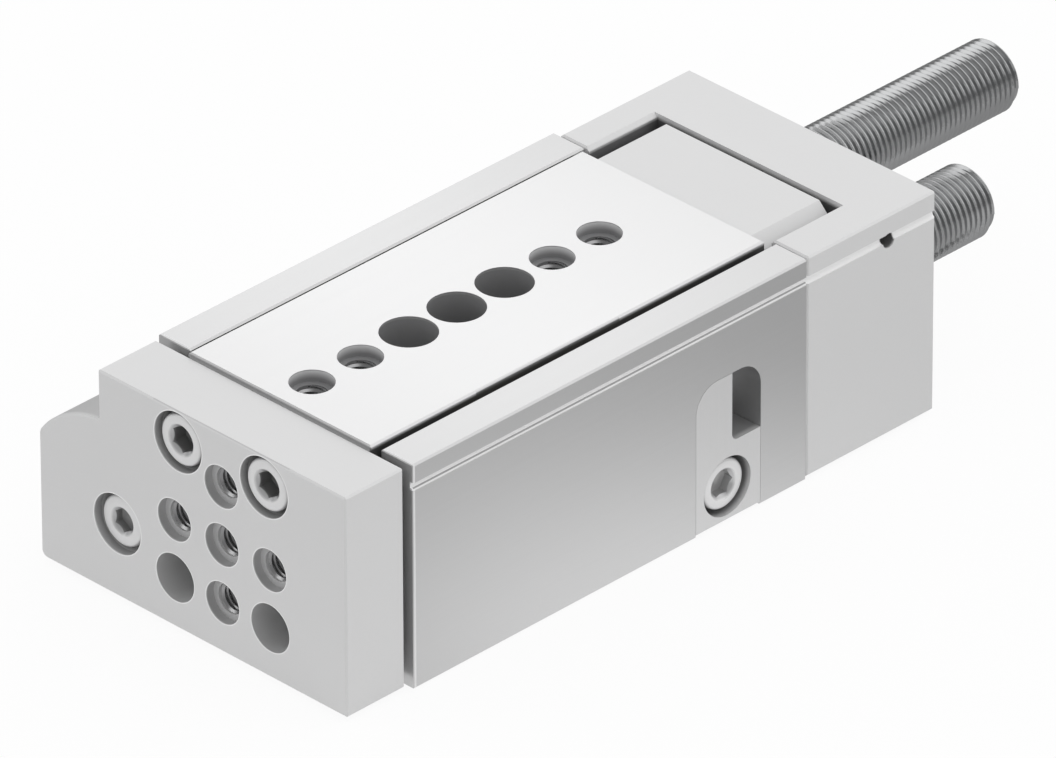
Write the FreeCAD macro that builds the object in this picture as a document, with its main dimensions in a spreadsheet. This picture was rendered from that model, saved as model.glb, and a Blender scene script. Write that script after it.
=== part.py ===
import FreeCAD, Part

import math
import os
import re

import Sketcher

# Pneumatic mini slide: a flat steel slide runs on two rows of balls between the rails of an
# aluminium housing. A cylinder in the barrel on the left pushes the yoke plate at the front,
# and two long threaded stops behind set where the slide ends its travel.
#
# X runs across (barrel on the left, -X), Y from the yoke (-Y) to the stops (+Y), Z up.
# The origin is on the mounting face under the housing, in the middle of its four threads.
# Lengths along Y are measured from the housing's front face, and each finished piece is then
# placed half the housing's length forward. The slide is drawn retracted and advances along -Y.

Vector = FreeCAD.Vector
Rotation = FreeCAD.Rotation

SIZES = [
    ("stroke", 30, "travel of the slide"),
    ("stroke_spare", 0.2, "gap that is left at the anvil when the slide is fully out"),
    ("slide_clearance", 0.5, "gap between the slide's pieces and the channels that they run in"),
    ("running_clearance", 0.05, "radial gap of a shaft or thread that turns or slides in its bore"),
    ("fit_clearance", 0.05, "gap round a piece that is let into a pocket"),
    ("edge_break", 0.3, "small chamfer on outer edges"),
    ("housing_length", 82.6, "housing from front to rear face"),
    ("housing_half_width", 26.6, "centre line to the housing's flat side"),
    ("rail_top", 38.5, "height of the two rails beside the slide"),
    ("channel_half_width", 20, "centre line to the rails' inner walls"),
    ("channel_floor", 30.2, "height of the floor under the slide"),
    ("barrel_offset", 25, "centre line to the centre of the barrel's round top"),
    ("barrel_height", 13.1, "height of the centre of the barrel's round top"),
    ("barrel_radius", 17, "radius of the barrel's round top"),
    ("barrel_flat", 2.8, "how far the barrel's flat left side cuts into the round"),
    ("foot_chamfer", 0.8, "chamfer along the barrel's lower edge"),
    ("side_groove_radius", 0.68, "round groove along the right side"),
    ("side_groove_drop", 3.8, "rail top down to the groove's centre"),
    ("sensor_slot_radius", 2.3, "round bottom of the two sensor slots"),
    ("sensor_slot_mouth", 2.6, "width of the sensor slots' mouths"),
    ("sensor_slot_depth", 3, "left side to the slots' centres"),
    ("sensor_slot_rise", 5.75, "cylinder axis up and down to the slots' centres"),
    ("hole_pitch", 10, "pitch of the mounting grid"),
    ("thread_radius", 2.5, "M5 threads of the grid"),
    ("centring_radius", 3.5, "counterbore for a centring sleeve over each thread"),
    ("centring_depth", 1.6, "depth of that counterbore"),
    ("slide_centring_depth", 2, "depth of the counterbores in the slide"),
    ("slide_thread_depth", 7.5, "depth of the slide's threads"),
    ("pass_hole_radius", 4.5, "plain hole in the slide that a screw head passes"),
    ("base_thread_depth", 8, "depth of the threads in the mounting face"),
    ("base_row_spacing", 30, "spacing of the two rows of base threads"),
    ("base_screw_radius", 2.75, "hole for a screw put in from above"),
    ("base_screw_seat", 7, "height of the seat for such a screw's head"),
    ("base_seat_radius", 4.75, "hole above that seat"),
    ("base_screw_first", 15.5, "front face to the first such hole"),
    ("base_screw_spacing", 20, "spacing of such holes"),
    ("bore_offset", 22.2, "centre line to the cylinder's axis"),
    ("bore_height", 13.2, "height of the cylinder's axis"),
    ("bore_radius", 8, "cylinder bore"),
    ("port_radius", 2.5, "M5 air ports"),
    ("port_depth", 6, "depth of the air ports' threads"),
    ("port_passage", 1, "radius of the narrow passage from a port to the bore"),
    ("front_port", 20, "front face to the front air port"),
    ("rear_port", 7.6, "rear face to the rear air port"),
    ("ring_start", 1, "front face to the retaining ring"),
    ("ring_thickness", 1.1, "thickness of the retaining ring"),
    ("ring_groove_depth", 0.6, "depth of its groove"),
    ("ring_width", 1.7, "radial width of the retaining ring"),
    ("ring_gap", 6, "opening of the retaining ring"),
    ("seal_length", 3.5, "length of the rod seal"),
    ("bearing_length", 10.4, "length of the rod bearing"),
    ("plug_length", 6.1, "length of the plug in the rear of the bore"),
    ("ring_seal_width", 2, "width of the sealing rings"),
    ("ring_seal_depth", 1.2, "depth of the sealing rings' grooves"),
    ("rod_radius", 4, "piston rod"),
    ("rod_spigot_radius", 2.5, "thin end of the rod that carries the piston"),
    ("piston_spare", 4, "gap left behind the piston when it is retracted"),
    ("piston_length", 11, "length of the piston"),
    ("piston_clearance", 0.2, "radial gap of the piston in the bore"),
    ("piston_land", 0.8, "land at each end of the piston"),
    ("magnet_width", 2.4, "width of the magnet ring"),
    ("magnet_depth", 2, "depth of its groove"),
    ("guide_gap", 1, "gap between the slide's sides and the rails"),
    ("slide_top", 39.05, "height of the slide's ground face"),
    ("slide_thickness", 8.55, "thickness of the slide at its sides"),
    ("slide_short", 0.2, "how much shorter the slide is than the housing"),
    ("first_hole", 6.8, "slide's front end to its first hole"),
    ("keel_half_width", 15, "centre line to the side of the slide's thicker front end"),
    ("keel_length", 14, "length of that part"),
    ("keel_depth", 3, "how far that part stands down"),
    ("yoke_gap", 1.3, "gap between housing and yoke when retracted"),
    ("yoke_thickness", 12, "thickness of the yoke plate"),
    ("yoke_inset", 0.7, "yoke's outline inside the housing's outline"),
    ("yoke_barrel_inset", 0.45, "the same for the yoke's barrel part"),
    ("yoke_top_drop", 0.2, "rail top down to the yoke's top"),
    ("yoke_foot", 0.6, "yoke's lower edge above the mounting face"),
    ("yoke_grid_height", 19.2, "height of the centre of the yoke's five threads"),
    ("yoke_plain_radius", 4, "two plain holes in the yoke"),
    ("yoke_plain_height", 9.2, "height of the plain holes"),
    ("yoke_screw_offset", 9, "centre line to the yoke's screws"),
    ("yoke_screw_height", 33, "height of the yoke's screws"),
    ("yoke_screw_sink", 0.6, "yoke's face down to the heads of its screws"),
    ("rod_screw_sink", 1, "yoke's face down to the head of the rod's screw"),
    ("ball_radius", 1.5, "guide balls"),
    ("ball_height", 34.3, "height of the rows of balls"),
    ("ball_pitch", 6, "spacing of the balls"),
    ("ball_count", 8, "balls on each side"),
    ("cage_length", 50, "length of the ball cages"),
    ("cage_start", 16, "front face to the cages when the slide is retracted"),
    ("cage_thickness", 0.6, "thickness of the ball cages"),
    ("cage_half_height", 2.3, "half the height of the ball cages"),
    ("rail_width", 3, "width of the hardened rail strips"),
    ("rail_rise", 2.7, "row of balls up to the strips' top edge"),
    ("rail_fall", 2.9, "row of balls down to the strips' lower edge"),
    ("rail_inset", 1, "housing's end faces to the strips' ends"),
    ("cap_length", 27.5, "length of the end cap"),
    ("cap_wall", 12.8, "thickness of the end cap's rear wall"),
    ("cap_inset", 1.6, "cap's left outline inside the housing's outline"),
    ("cap_rise", 0.2, "cap's top above the rails"),
    ("cap_foot", 0.5, "cap's lower face above the mounting face"),
    ("recess_clearance", 0.1, "slide's side out to the inner wall of the cap's recess"),
    ("recess_chamfer", 0.65, "chamfer along the recess"),
    ("pin_hole_radius", 1.25, "small hole in the cap's right side"),
    ("pin_hole_depth", 4, "depth of that hole"),
    ("pin_hole_start", 17.4, "cap's front to that hole"),
    ("pin_hole_height", 34.3, "height of that hole"),
    ("stop_height", 24, "height of the stops' axes"),
    ("advance_offset", 8.7, "centre line to the advance stop, on the left"),
    ("retract_offset", 14.7, "centre line to the retract stop, on the right"),
    ("stop_radius", 6, "radius of the stops' thread"),
    ("stop_length", 86, "length of a stop with its buffer"),
    ("stop_chamfer", 0.7, "chamfer at a stop's ends"),
    ("stop_hex", 5, "hexagon socket in a stop's rear end"),
    ("stop_hex_depth", 5, "depth of that socket"),
    ("stop_hole_clearance", 0.5, "gap round the advance stop in the cap"),
    ("buffer_radius", 3, "radius of a stop's buffer"),
    ("buffer_length", 1.5, "how far the buffer stands out of its stop"),
    ("buffer_seat", 4, "how deep the buffer sits in its stop"),
    ("advance_reach", 7.1, "bracket's front down to the advance stop's tip"),
    ("anvil_radius", 5, "hardened disc that the advance stop meets"),
    ("anvil_thickness", 4, "thickness of that disc"),
    ("nut_radius", 7.3, "round lock nut on the advance stop"),
    ("nut_thickness", 4, "thickness of the lock nut"),
    ("nut_notch", 2.4, "width of the lock nut's notches"),
    ("nut_notch_depth", 0.8, "depth of the lock nut's notches"),
    ("bracket_length", 14.9, "length of the stop bracket"),
    ("bracket_inset", 0.4, "slide's side in to the bracket's side"),
    ("bracket_step", 0.45, "slide's top down to the bracket's top"),
    ("bracket_chamfer", 2.6, "wide chamfer along the bracket's top"),
    ("boss_radius", 7.5, "bracket's boss round the advance stop"),
    ("boss_clearance", 0.5, "gap round that boss"),
    ("bracket_screw_spacing", 13, "spacing of the bracket's screws"),
    ("bracket_screw_height", 34.2, "height of the bracket's screws"),
    ("lug_setback", 38.6, "rear face to the face that the retract stop meets"),
    ("lug_length", 10, "length of the stop lug"),
    ("lug_half_width", 4.6, "half the width of the stop lug"),
    ("lug_fall", 5.5, "radius of the lug's round foot"),
    ("lug_key", 1.5, "how far the lug is let into the slide"),
    ("lug_sink", 2.5, "lug's foot up to its screw's head"),
    ("pocket_setback", 16.8, "rear face to the middle of the clamp pocket"),
    ("pocket_half_width", 6.9, "half the width of the clamp pocket"),
    ("pocket_top", 25.6, "height of the clamp pocket's top"),
    ("pocket_corner", 4.4, "radius of the pocket's upper corners"),
    ("pocket_depth", 7, "depth of the clamp pocket"),
    ("notch_offset", 0.8, "middle of that pocket back to the clamp block's notch"),
    ("notch_floor", 13.7, "height of the notch's floor"),
    ("notch_corner", 1.2, "radius of the notch's lower corner"),
    ("clamp_screw_offset", 0.2, "middle of that pocket forward to the clamp screw"),
    ("clamp_screw_height", 6.3, "height of the clamp screw"),
    ("clamp_screw_sink", 0.8, "block's face down to the clamp screw's head"),
    ("clamp_screw_length", 14, "length of the clamp screw"),
    ("clamp_head_height", 3.5, "height of the clamp screw's low head"),
    ("head_bore_radius", 5, "counterbore for an M5 screw head"),
    ("screw_radius", 2.5, "M5 thread"),
    ("screw_head_radius", 4.25, "M5 screw head"),
    ("screw_head_height", 5, "height of an M5 screw head"),
    ("low_head_height", 3, "height of the rod screw's low head"),
    ("screw_hex", 4, "hexagon socket of an M5 screw"),
    ("low_hex", 3, "hexagon socket of the low head"),
    ("yoke_screw_length", 16, "length of the yoke's screws"),
    ("rod_screw_length", 14, "length of the rod's screw"),
    ("small_screw_radius", 1.5, "M3 thread"),
    ("small_head_radius", 2.75, "M3 screw head"),
    ("small_head_height", 3, "height of an M3 screw head"),
    ("small_hex", 2.5, "hexagon socket of an M3 screw"),
    ("small_head_bore", 2.95, "counterbore for an M3 screw head"),
    ("small_screw_sink", 0.4, "face down to the heads of the M3 screws"),
    ("cap_screw_length", 25, "length of the cap's screws"),
    ("cap_screw_sink", 5, "cap's face down to the heads of its screws"),
    ("cap_right_across", 22, "centre line to the cap's right screw"),
    ("cap_right_height", 9, "height of that screw"),
    ("cap_middle_across", 8, "centre line to the cap's middle screw"),
    ("cap_left_across", 31.5, "centre line to the cap's lower left screw"),
    ("cap_lower_height", 6, "height of the middle and the lower left screw"),
    ("cap_upper_across", 21.5, "centre line to the cap's upper left screw"),
    ("cap_upper_height", 24.5, "height of that screw"),
    ("bracket_screw_length", 18, "length of the bracket's screws"),
    ("middle_screw_radius", 2, "M4 thread of the cap's and the lug's screws"),
    ("middle_head_radius", 3.5, "head of such a screw"),
    ("middle_head_height", 4, "height of that head"),
    ("middle_hex", 3, "hexagon socket of such a screw"),
    ("lug_screw_length", 12, "length of the lug's screw"),
    ("screw_play", 0.25, "radial gap of a screw in a plain hole"),
    ("thread_spare", 1.5, "how much deeper a threaded hole is than its screw"),
]

doc = FreeCAD.newDocument("mini_slide")
sheet = doc.addObject("Spreadsheet::Sheet", "Sizes")
for row, (alias, number, note) in enumerate(SIZES, start=1):
    sheet.set(f"A{row}", note)
    sheet.set(f"B{row}", str(number))
    sheet.setAlias(f"B{row}", alias)
doc.recompute()

ALIASES = {alias for alias, number, note in SIZES}


def link(text):
    """Turns plain size names into references to the sheet's cells."""
    return re.sub(r"[a-z_]+", lambda word: f"Sizes.{word[0]}" if word[0] in ALIASES else word[0],
                  str(text))


def value(text):
    return float(sheet.evalExpression(link(text)))


def bind(piece, **properties):
    for name, text in properties.items():
        piece.setExpression(name, link(text))


def place(piece, x, y, z):
    for letter, text in zip("xyz", (x, y, z)):
        piece.setExpression(f"Placement.Base.{letter}", link(text))


# Places that several pieces share, worked out from the sheet.
BARREL_SIDE = "(barrel_offset + barrel_radius - barrel_flat)"
SLIDE_SIDE = "(channel_half_width - guide_gap)"
RECESS_SIDE = f"({SLIDE_SIDE} + recess_clearance)"
BRACKET_SIDE = f"({SLIDE_SIDE} - bracket_inset)"
SLIDE_FRONT = "(-yoke_gap)"
SLIDE_LENGTH = "(housing_length - slide_short)"
SLIDE_REAR = f"({SLIDE_LENGTH} - yoke_gap)"
SLIDE_BOTTOM = "(slide_top - slide_thickness)"
KEEL_BOTTOM = f"({SLIDE_BOTTOM} - keel_depth)"
YOKE_FRONT = "(-yoke_gap - yoke_thickness)"
CAP_REAR = "(housing_length + cap_length)"
RECESS_REAR = f"({CAP_REAR} - cap_wall)"
CAP_TOP = "(rail_top + cap_rise)"
GROOVE_HEIGHT = "(rail_top - side_groove_drop)"
ADVANCE_X = "(-advance_offset)"
RETRACT_X = "retract_offset"
ADVANCE_TIP = f"({SLIDE_REAR} - advance_reach)"
ANVIL_FACE = f"({ADVANCE_TIP} - stroke - stroke_spare)"
BRACKET_REAR = f"({SLIDE_REAR} + bracket_length)"
NUT_START = f"({SLIDE_REAR} - nut_thickness)"
BOSS_CHANNEL = "(boss_radius + boss_clearance)"
BALL_X = "(channel_half_width - guide_gap / 2)"
GROOVE_RADIUS = "(ball_radius + running_clearance)"
GROOVE_HALF = f"sqrt({GROOVE_RADIUS}^2 - (guide_gap / 2)^2)"
POCKET_BACK = "(housing_half_width - pocket_depth)"
POCKET_CENTRE = "(housing_length - pocket_setback)"
NOTCH_START = f"({POCKET_CENTRE} + notch_offset)"
CLAMP_SCREW_Y = f"({POCKET_CENTRE} - clamp_screw_offset)"
PLUG_START = "(housing_length - plug_length)"
PISTON_START = f"({PLUG_START} - piston_spare - piston_length)"
REAR_PORT = "(housing_length - rear_port)"
STOP_BORE = "(stop_radius + running_clearance)"
CLAMP_TIP = "(housing_half_width - clamp_screw_sink - clamp_head_height - clamp_screw_length)"
LUG_FACE = "(housing_length - lug_setback)"
LUG_SCREW_Y = f"({LUG_FACE} - lug_length / 2)"
LUG_HEAD = "(stop_height - lug_fall + lug_sink)"
LUG_SCREW_TIP = f"({LUG_HEAD} + middle_head_height + lug_screw_length)"
BRACKET_SCREW_TIP = f"({BRACKET_REAR} - small_screw_sink - small_head_height - bracket_screw_length)"
CAP_SCREWS = [
    ("cap_right_across", "cap_right_height"),
    ("(-cap_middle_across)", "cap_lower_height"),
    ("(-cap_left_across)", "cap_lower_height"),
    ("(-cap_upper_across)", "cap_upper_height"),
]
OVERRUN = 1

TURN_TO = {
    "x": Rotation(Vector(0, 1, 0), 90),
    "y": Rotation(Vector(1, 0, 0), -90),
    "z": Rotation(),
}
finished = []


def keep(piece, label, x="0", y="0", z="0"):
    """Names a finished sub-part, which is written to a file of the same name, and places it."""
    piece.Label = label
    place(piece, x, f"{y} - housing_length / 2", z)
    finished.append(piece)


def drum(axis, radius, start, end, across, up):
    """A cylinder along an axis, from start to end. across and up place its centre line on the
    other two axes, in X, Y, Z order."""
    piece = doc.addObject("Part::Cylinder", "Drum")
    piece.Placement.Rotation = TURN_TO[axis]
    bind(piece, Radius=radius, Height=f"({end}) - ({start})")
    spot = {"x": (start, across, up), "y": (across, start, up), "z": (across, up, start)}[axis]
    place(piece, *spot)
    return piece


def block(x_span, y_span, z_span):
    piece = doc.addObject("Part::Box", "Block")
    spans = (x_span, y_span, z_span)
    for name, (low, high) in zip(("Length", "Width", "Height"), spans):
        bind(piece, **{name: f"({high}) - ({low})"})
    place(piece, *(low for low, high in spans))
    return piece


def join(pieces):
    piece = doc.addObject("Part::MultiFuse", "Join")
    piece.Shapes = pieces
    piece.Refine = True
    return piece


def cut(base, tools):
    piece = doc.addObject("Part::Cut", "Cut")
    piece.Base = base
    piece.Tool = tools[0] if len(tools) == 1 else join(tools)
    piece.Refine = True
    return piece


def gather(pieces):
    """Identical pieces that share one node, each still a solid of its own."""
    piece = doc.addObject("Part::Compound", "Set")
    piece.Links = pieces
    return piece


def origin_plane(body, role):
    return next(plane for plane in body.Origin.OriginFeatures if plane.Role == role)


def draw_outline(sketch, corners, arcs):
    """Draws a closed outline and ties each corner to the sheet. arcs gives, for the side that
    leaves a corner, its radius and a point that it bends towards."""
    spots = [Vector(value(across), value(up), 0) for across, up in corners]
    ends = []
    for side, start in enumerate(spots):
        end = spots[(side + 1) % len(spots)]
        if side in arcs:
            radius, across, up = arcs[side]
            chord = (start + end) / 2
            bend = (Vector(value(across), value(up), 0) - chord).normalize()
            rise = value(radius) - math.sqrt(value(radius)**2 - (end - start).Length**2 / 4)
            sketch.addGeometry(Part.Arc(start, chord + bend * rise, end), False)
        else:
            sketch.addGeometry(Part.LineSegment(start, end), False)
        swapped = (sketch.getPoint(side, 1) - start).Length > (sketch.getPoint(side, 2) - start).Length
        ends.append((2, 1) if swapped else (1, 2))
    for side in range(len(spots)):
        after = (side + 1) % len(spots)
        sketch.addConstraint(
            Sketcher.Constraint("Coincident", side, ends[side][1], after, ends[after][0]))
    for side, (across, up) in enumerate(corners):
        for kind, text in (("DistanceX", across), ("DistanceY", up)):
            number = sketch.addConstraint(
                Sketcher.Constraint(kind, -1, 1, side, ends[side][0], value(text)))
            sketch.setExpression(f"Constraints[{number}]", link(text))
    for side, (radius, across, up) in arcs.items():
        number = sketch.addConstraint(Sketcher.Constraint("Radius", side, value(radius)))
        sketch.setExpression(f"Constraints[{number}]", link(radius))


def profile(role, level, length, corners, arcs=None):
    """A body made by padding an outline. On XZ_Plane the outline's corners are (x, z), and the
    pad runs along +Y from the level; on YZ_Plane they are (y, z), and it runs along +X."""
    body = doc.addObject("PartDesign::Body", "Profile")
    sketch = body.newObject("Sketcher::SketchObject", "Outline")
    sketch.AttachmentSupport = (origin_plane(body, role), [""])
    sketch.MapMode = "FlatFace"
    backwards = role == "XZ_Plane"
    sign = "-" if backwards else ""
    sketch.setExpression("AttachmentOffset.Base.z", link(f"{sign}({level})"))
    draw_outline(sketch, corners, arcs or {})
    pad = body.newObject("PartDesign::Pad", "Pad")
    pad.Profile = sketch
    pad.Reversed = backwards
    bind(pad, Length=length)
    doc.recompute()
    return body


def break_edges(body, size, wanted):
    """Chamfers the edges of a body's last feature whose two ends both satisfy wanted."""
    last = body.Tip
    names = [f"Edge{number}" for number, edge in enumerate(last.Shape.Edges, start=1)
             if all(wanted(vertex.Point) for vertex in edge.Vertexes)]
    chamfer = body.newObject("PartDesign::Chamfer", "EdgeBreak")
    chamfer.Base = (last, names)
    bind(chamfer, Size=size)
    doc.recompute()
    return body


def turned(corners):
    """A body turned about the Y axis. Its corners are (radius, y)."""
    body = doc.addObject("PartDesign::Body", "Turned")
    sketch = body.newObject("Sketcher::SketchObject", "Outline")
    sketch.AttachmentSupport = (origin_plane(body, "XY_Plane"), [""])
    sketch.MapMode = "FlatFace"
    draw_outline(sketch, corners, {})
    revolution = body.newObject("PartDesign::Revolution", "Revolution")
    revolution.Profile = sketch
    revolution.ReferenceAxis = (sketch, ["V_Axis"])
    revolution.Angle = 360
    doc.recompute()
    return body


def hexagon(width, depth, start):
    """A six-sided prism along +Y, for the socket of a screw."""
    piece = doc.addObject("Part::Prism", "Hexagon")
    piece.Placement.Rotation = TURN_TO["y"]
    piece.Polygon = 6
    bind(piece, Circumradius=f"({width}) / 2 / cos(30)", Height=depth)
    place(piece, "0", start, "0")
    return piece


SCREW_TURNS = {
    "+y": Rotation(),
    "-y": Rotation(Vector(0, 0, 1), 180),
    "-x": Rotation(Vector(0, 0, 1), 90),
    "+z": Rotation(Vector(1, 0, 0), 90),
}


def socket_screw(direction, head, thread, length, hex_width):
    """A hexagon socket screw that points in a direction, its head's face at the origin."""
    head_radius, head_height = head
    shank = f"({thread} - running_clearance)"
    tip = f"({head_height} + {length})"
    blank = turned([
        ("0", "0"),
        (f"{head_radius} - edge_break", "0"),
        (head_radius, "edge_break"),
        (head_radius, head_height),
        (shank, head_height),
        (shank, f"{tip} - 2 * edge_break"),
        (f"{shank} - 2 * edge_break", tip),
        ("0", tip),
    ])
    screw = cut(blank, [hexagon(hex_width, f"{head_height} / 2 + {OVERRUN}", str(-OVERRUN))])
    screw.Placement.Rotation = SCREW_TURNS[direction]
    return screw


def screw_set(direction, head, thread, length, hex_width, spots):
    """Identical screws, one at each spot."""
    screws = []
    for spot in spots:
        screw = socket_screw(direction, head, thread, length, hex_width)
        place(screw, *spot)
        screws.append(screw)
    return gather(screws)


def barrel_edge(inset, across):
    """Height of the barrel's round top, drawn inwards by an inset, at a distance from the
    centre line."""
    return f"(barrel_height + sqrt((barrel_radius - {inset})^2 - ({across} - barrel_offset)^2))"


def end_outline(inset, barrel_inset, right, top, foot):
    """Outline that yoke and cap share: a block with the barrel on its left."""
    upper = f"(housing_half_width - {inset})"
    outer = f"({BARREL_SIDE} - {barrel_inset})"
    corners = [
        (right, foot),
        (right, top),
        (f"-{upper}", top),
        (f"-{upper}", barrel_edge(barrel_inset, upper)),
        (f"-{outer}", barrel_edge(barrel_inset, outer)),
        (f"-{outer}", f"{foot} + foot_chamfer"),
        (f"-{outer} + foot_chamfer", foot),
    ]
    arcs = {3: (f"barrel_radius - {barrel_inset}", f"-{outer}", top)}
    return corners, arcs


def near(number, text):
    return abs(number - value(text)) < 0.001


def housing():
    rail_low = "(ball_height - rail_fall)"
    rail_high = "(ball_height + rail_rise)"
    rail_back = "(channel_half_width + rail_width)"
    corners = [
        ("housing_half_width", "0"),
        ("housing_half_width", "rail_top"),
        ("channel_half_width", "rail_top"),
        ("channel_half_width", rail_high),
        (rail_back, rail_high),
        (rail_back, rail_low),
        ("channel_half_width", rail_low),
        ("channel_half_width", "channel_floor"),
        ("-channel_half_width", "channel_floor"),
        ("-channel_half_width", rail_low),
        (f"-{rail_back}", rail_low),
        (f"-{rail_back}", rail_high),
        ("-channel_half_width", rail_high),
        ("-channel_half_width", "rail_top"),
        ("-housing_half_width", "rail_top"),
        ("-housing_half_width", barrel_edge("0", "housing_half_width")),
        (f"-{BARREL_SIDE}", barrel_edge("0", BARREL_SIDE)),
        (f"-{BARREL_SIDE}", "foot_chamfer"),
        (f"-{BARREL_SIDE} + foot_chamfer", "0"),
    ]
    arcs = {15: ("barrel_radius", f"-{BARREL_SIDE}", "rail_top")}
    body = profile("XZ_Plane", "0", "housing_length", corners, arcs)
    break_edges(body, "edge_break", lambda point: near(point.z, "rail_top")
                or near(point.x, "housing_half_width"))
    through = (str(-OVERRUN), f"housing_length + {OVERRUN}")
    keel_side = "(keel_half_width + slide_clearance)"
    lug_side = "(lug_half_width + slide_clearance)"
    lug_front = f"({LUG_FACE} - lug_length - stroke - slide_clearance)"
    lug_rear = f"({LUG_FACE} + slide_clearance)"
    above_floor = f"channel_floor + {OVERRUN}"
    tools = [
        block((f"-{keel_side}", keel_side),
              (str(-OVERRUN), f"{SLIDE_FRONT} + keel_length + slide_clearance"),
              (f"{KEEL_BOTTOM} - slide_clearance", above_floor)),
        drum("y", STOP_BORE, lug_front, through[1], RETRACT_X, "stop_height"),
        block((f"{RETRACT_X} - {lug_side}", f"{RETRACT_X} + {lug_side}"),
              (lug_front, lug_rear), ("stop_height", above_floor)),
        drum("y", BOSS_CHANNEL, ANVIL_FACE, through[1], ADVANCE_X, "stop_height"),
        block((f"{ADVANCE_X} - {BOSS_CHANNEL}", f"{ADVANCE_X} + {BOSS_CHANNEL}"),
              (ANVIL_FACE, through[1]), ("stop_height", above_floor)),
        drum("y", "anvil_radius", f"{ANVIL_FACE} - anvil_thickness", f"{ANVIL_FACE} + {OVERRUN}",
             ADVANCE_X, "stop_height"),
        drum("y", "bore_radius", through[0], through[1], "-bore_offset", "bore_height"),
        drum("y", "bore_radius + ring_groove_depth", "ring_start", "ring_start + ring_thickness",
             "-bore_offset", "bore_height"),
        drum("y", "side_groove_radius", through[0], through[1], "housing_half_width",
             GROOVE_HEIGHT),
        clamp_shape("0", "pocket_depth", OVERRUN),
        drum("x", "screw_radius", f"{CLAMP_TIP} - thread_spare", f"{POCKET_BACK} + {OVERRUN}",
             CLAMP_SCREW_Y, "clamp_screw_height"),
    ]
    for spot in ("front_port", REAR_PORT):
        tools.append(drum("x", "port_radius", f"-{BARREL_SIDE} - {OVERRUN}",
                          f"-{BARREL_SIDE} + port_depth", spot, "bore_height"))
        tools.append(drum("x", "port_passage", f"-{BARREL_SIDE} - {OVERRUN}", "-bore_offset",
                          spot, "bore_height"))
    for sign in "-+":
        slot_height = f"(bore_height {sign} sensor_slot_rise)"
        slot_x = f"(-{BARREL_SIDE} + sensor_slot_depth)"
        tools.append(drum("y", "sensor_slot_radius", through[0], through[1], slot_x, slot_height))
        tools.append(block((f"-{BARREL_SIDE} - {OVERRUN}", slot_x), through,
                           (f"{slot_height} - sensor_slot_mouth / 2",
                            f"{slot_height} + sensor_slot_mouth / 2")))
    for number in range(2):
        spot = f"base_screw_first + {number} * base_screw_spacing"
        tools.append(drum("z", "base_screw_radius", through[0], above_floor, "0", spot))
        tools.append(drum("z", "base_seat_radius", "base_screw_seat", above_floor, "0", spot))
        for sign in ("-", ""):
            row = f"(housing_length - base_row_spacing) / 2 + {number} * base_row_spacing"
            tools.append(drum("z", "thread_radius", through[0], "base_thread_depth",
                              f"{sign}hole_pitch", row))
            tools.append(drum("z", "centring_radius", through[0], "centring_depth",
                              f"{sign}hole_pitch", row))
    screw_tip = f"({CAP_REAR} - cap_screw_sink - middle_head_height - cap_screw_length)"
    for across, up in CAP_SCREWS:
        tools.append(drum("y", "middle_screw_radius", f"{screw_tip} - thread_spare", through[1],
                          across, up))
    keep(cut(body, tools), "housing")


def clamp_shape(gap, depth, overrun):
    """The clamp pocket's form, with a gap all round: square at the foot, round at the top."""
    near_side = f"({POCKET_CENTRE} - pocket_half_width + {gap})"
    far_side = f"({POCKET_CENTRE} + pocket_half_width - {gap})"
    top = f"(pocket_top - {gap})"
    foot = f"(0 - {overrun})" if overrun else "yoke_foot"
    bend = "(pocket_corner)"
    corners = [
        (near_side, foot),
        (far_side, foot),
        (far_side, f"{top} - {bend}"),
        (f"{far_side} - {bend}", top),
        (f"{near_side} + {bend}", top),
        (near_side, f"{top} - {bend}"),
    ]
    arcs = {2: (bend, far_side, top), 4: (bend, near_side, top)}
    return profile("YZ_Plane", f"housing_half_width - {depth}", f"{depth} + {overrun}",
                   corners, arcs)


def clamp():
    block_depth = "(pocket_depth - fit_clearance)"
    blank = clamp_shape("fit_clearance", block_depth, 0)
    far = f"({POCKET_CENTRE} + pocket_half_width + {OVERRUN})"
    high = f"(pocket_top + {OVERRUN})"
    notch = profile("YZ_Plane", f"{POCKET_BACK} - {OVERRUN}", f"pocket_depth + 2 * {OVERRUN}", [
        (NOTCH_START, "notch_floor + notch_corner"),
        (f"{NOTCH_START} + notch_corner", "notch_floor"),
        (far, "notch_floor"),
        (far, high),
        (NOTCH_START, high),
    ], {0: ("notch_corner", NOTCH_START, "notch_floor")})
    sink = "(clamp_screw_sink + clamp_head_height)"
    tools = [
        notch,
        drum("y", STOP_BORE, f"{POCKET_CENTRE} - 2 * pocket_half_width",
             f"{POCKET_CENTRE} + 2 * pocket_half_width", RETRACT_X, "stop_height"),
        drum("x", "screw_radius + screw_play", f"{POCKET_BACK} - {OVERRUN}",
             f"housing_half_width + {OVERRUN}", CLAMP_SCREW_Y, "clamp_screw_height"),
        drum("x", "head_bore_radius", f"housing_half_width - {sink}",
             f"housing_half_width + {OVERRUN}", CLAMP_SCREW_Y, "clamp_screw_height"),
    ]
    keep(cut(blank, tools), "clamp_block")
    screw = socket_screw("-x", ("screw_head_radius", "clamp_head_height"), "screw_radius",
                         "clamp_screw_length", "screw_hex")
    keep(screw, "clamp_screw", "housing_half_width - clamp_screw_sink", CLAMP_SCREW_Y,
         "clamp_screw_height")


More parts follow.
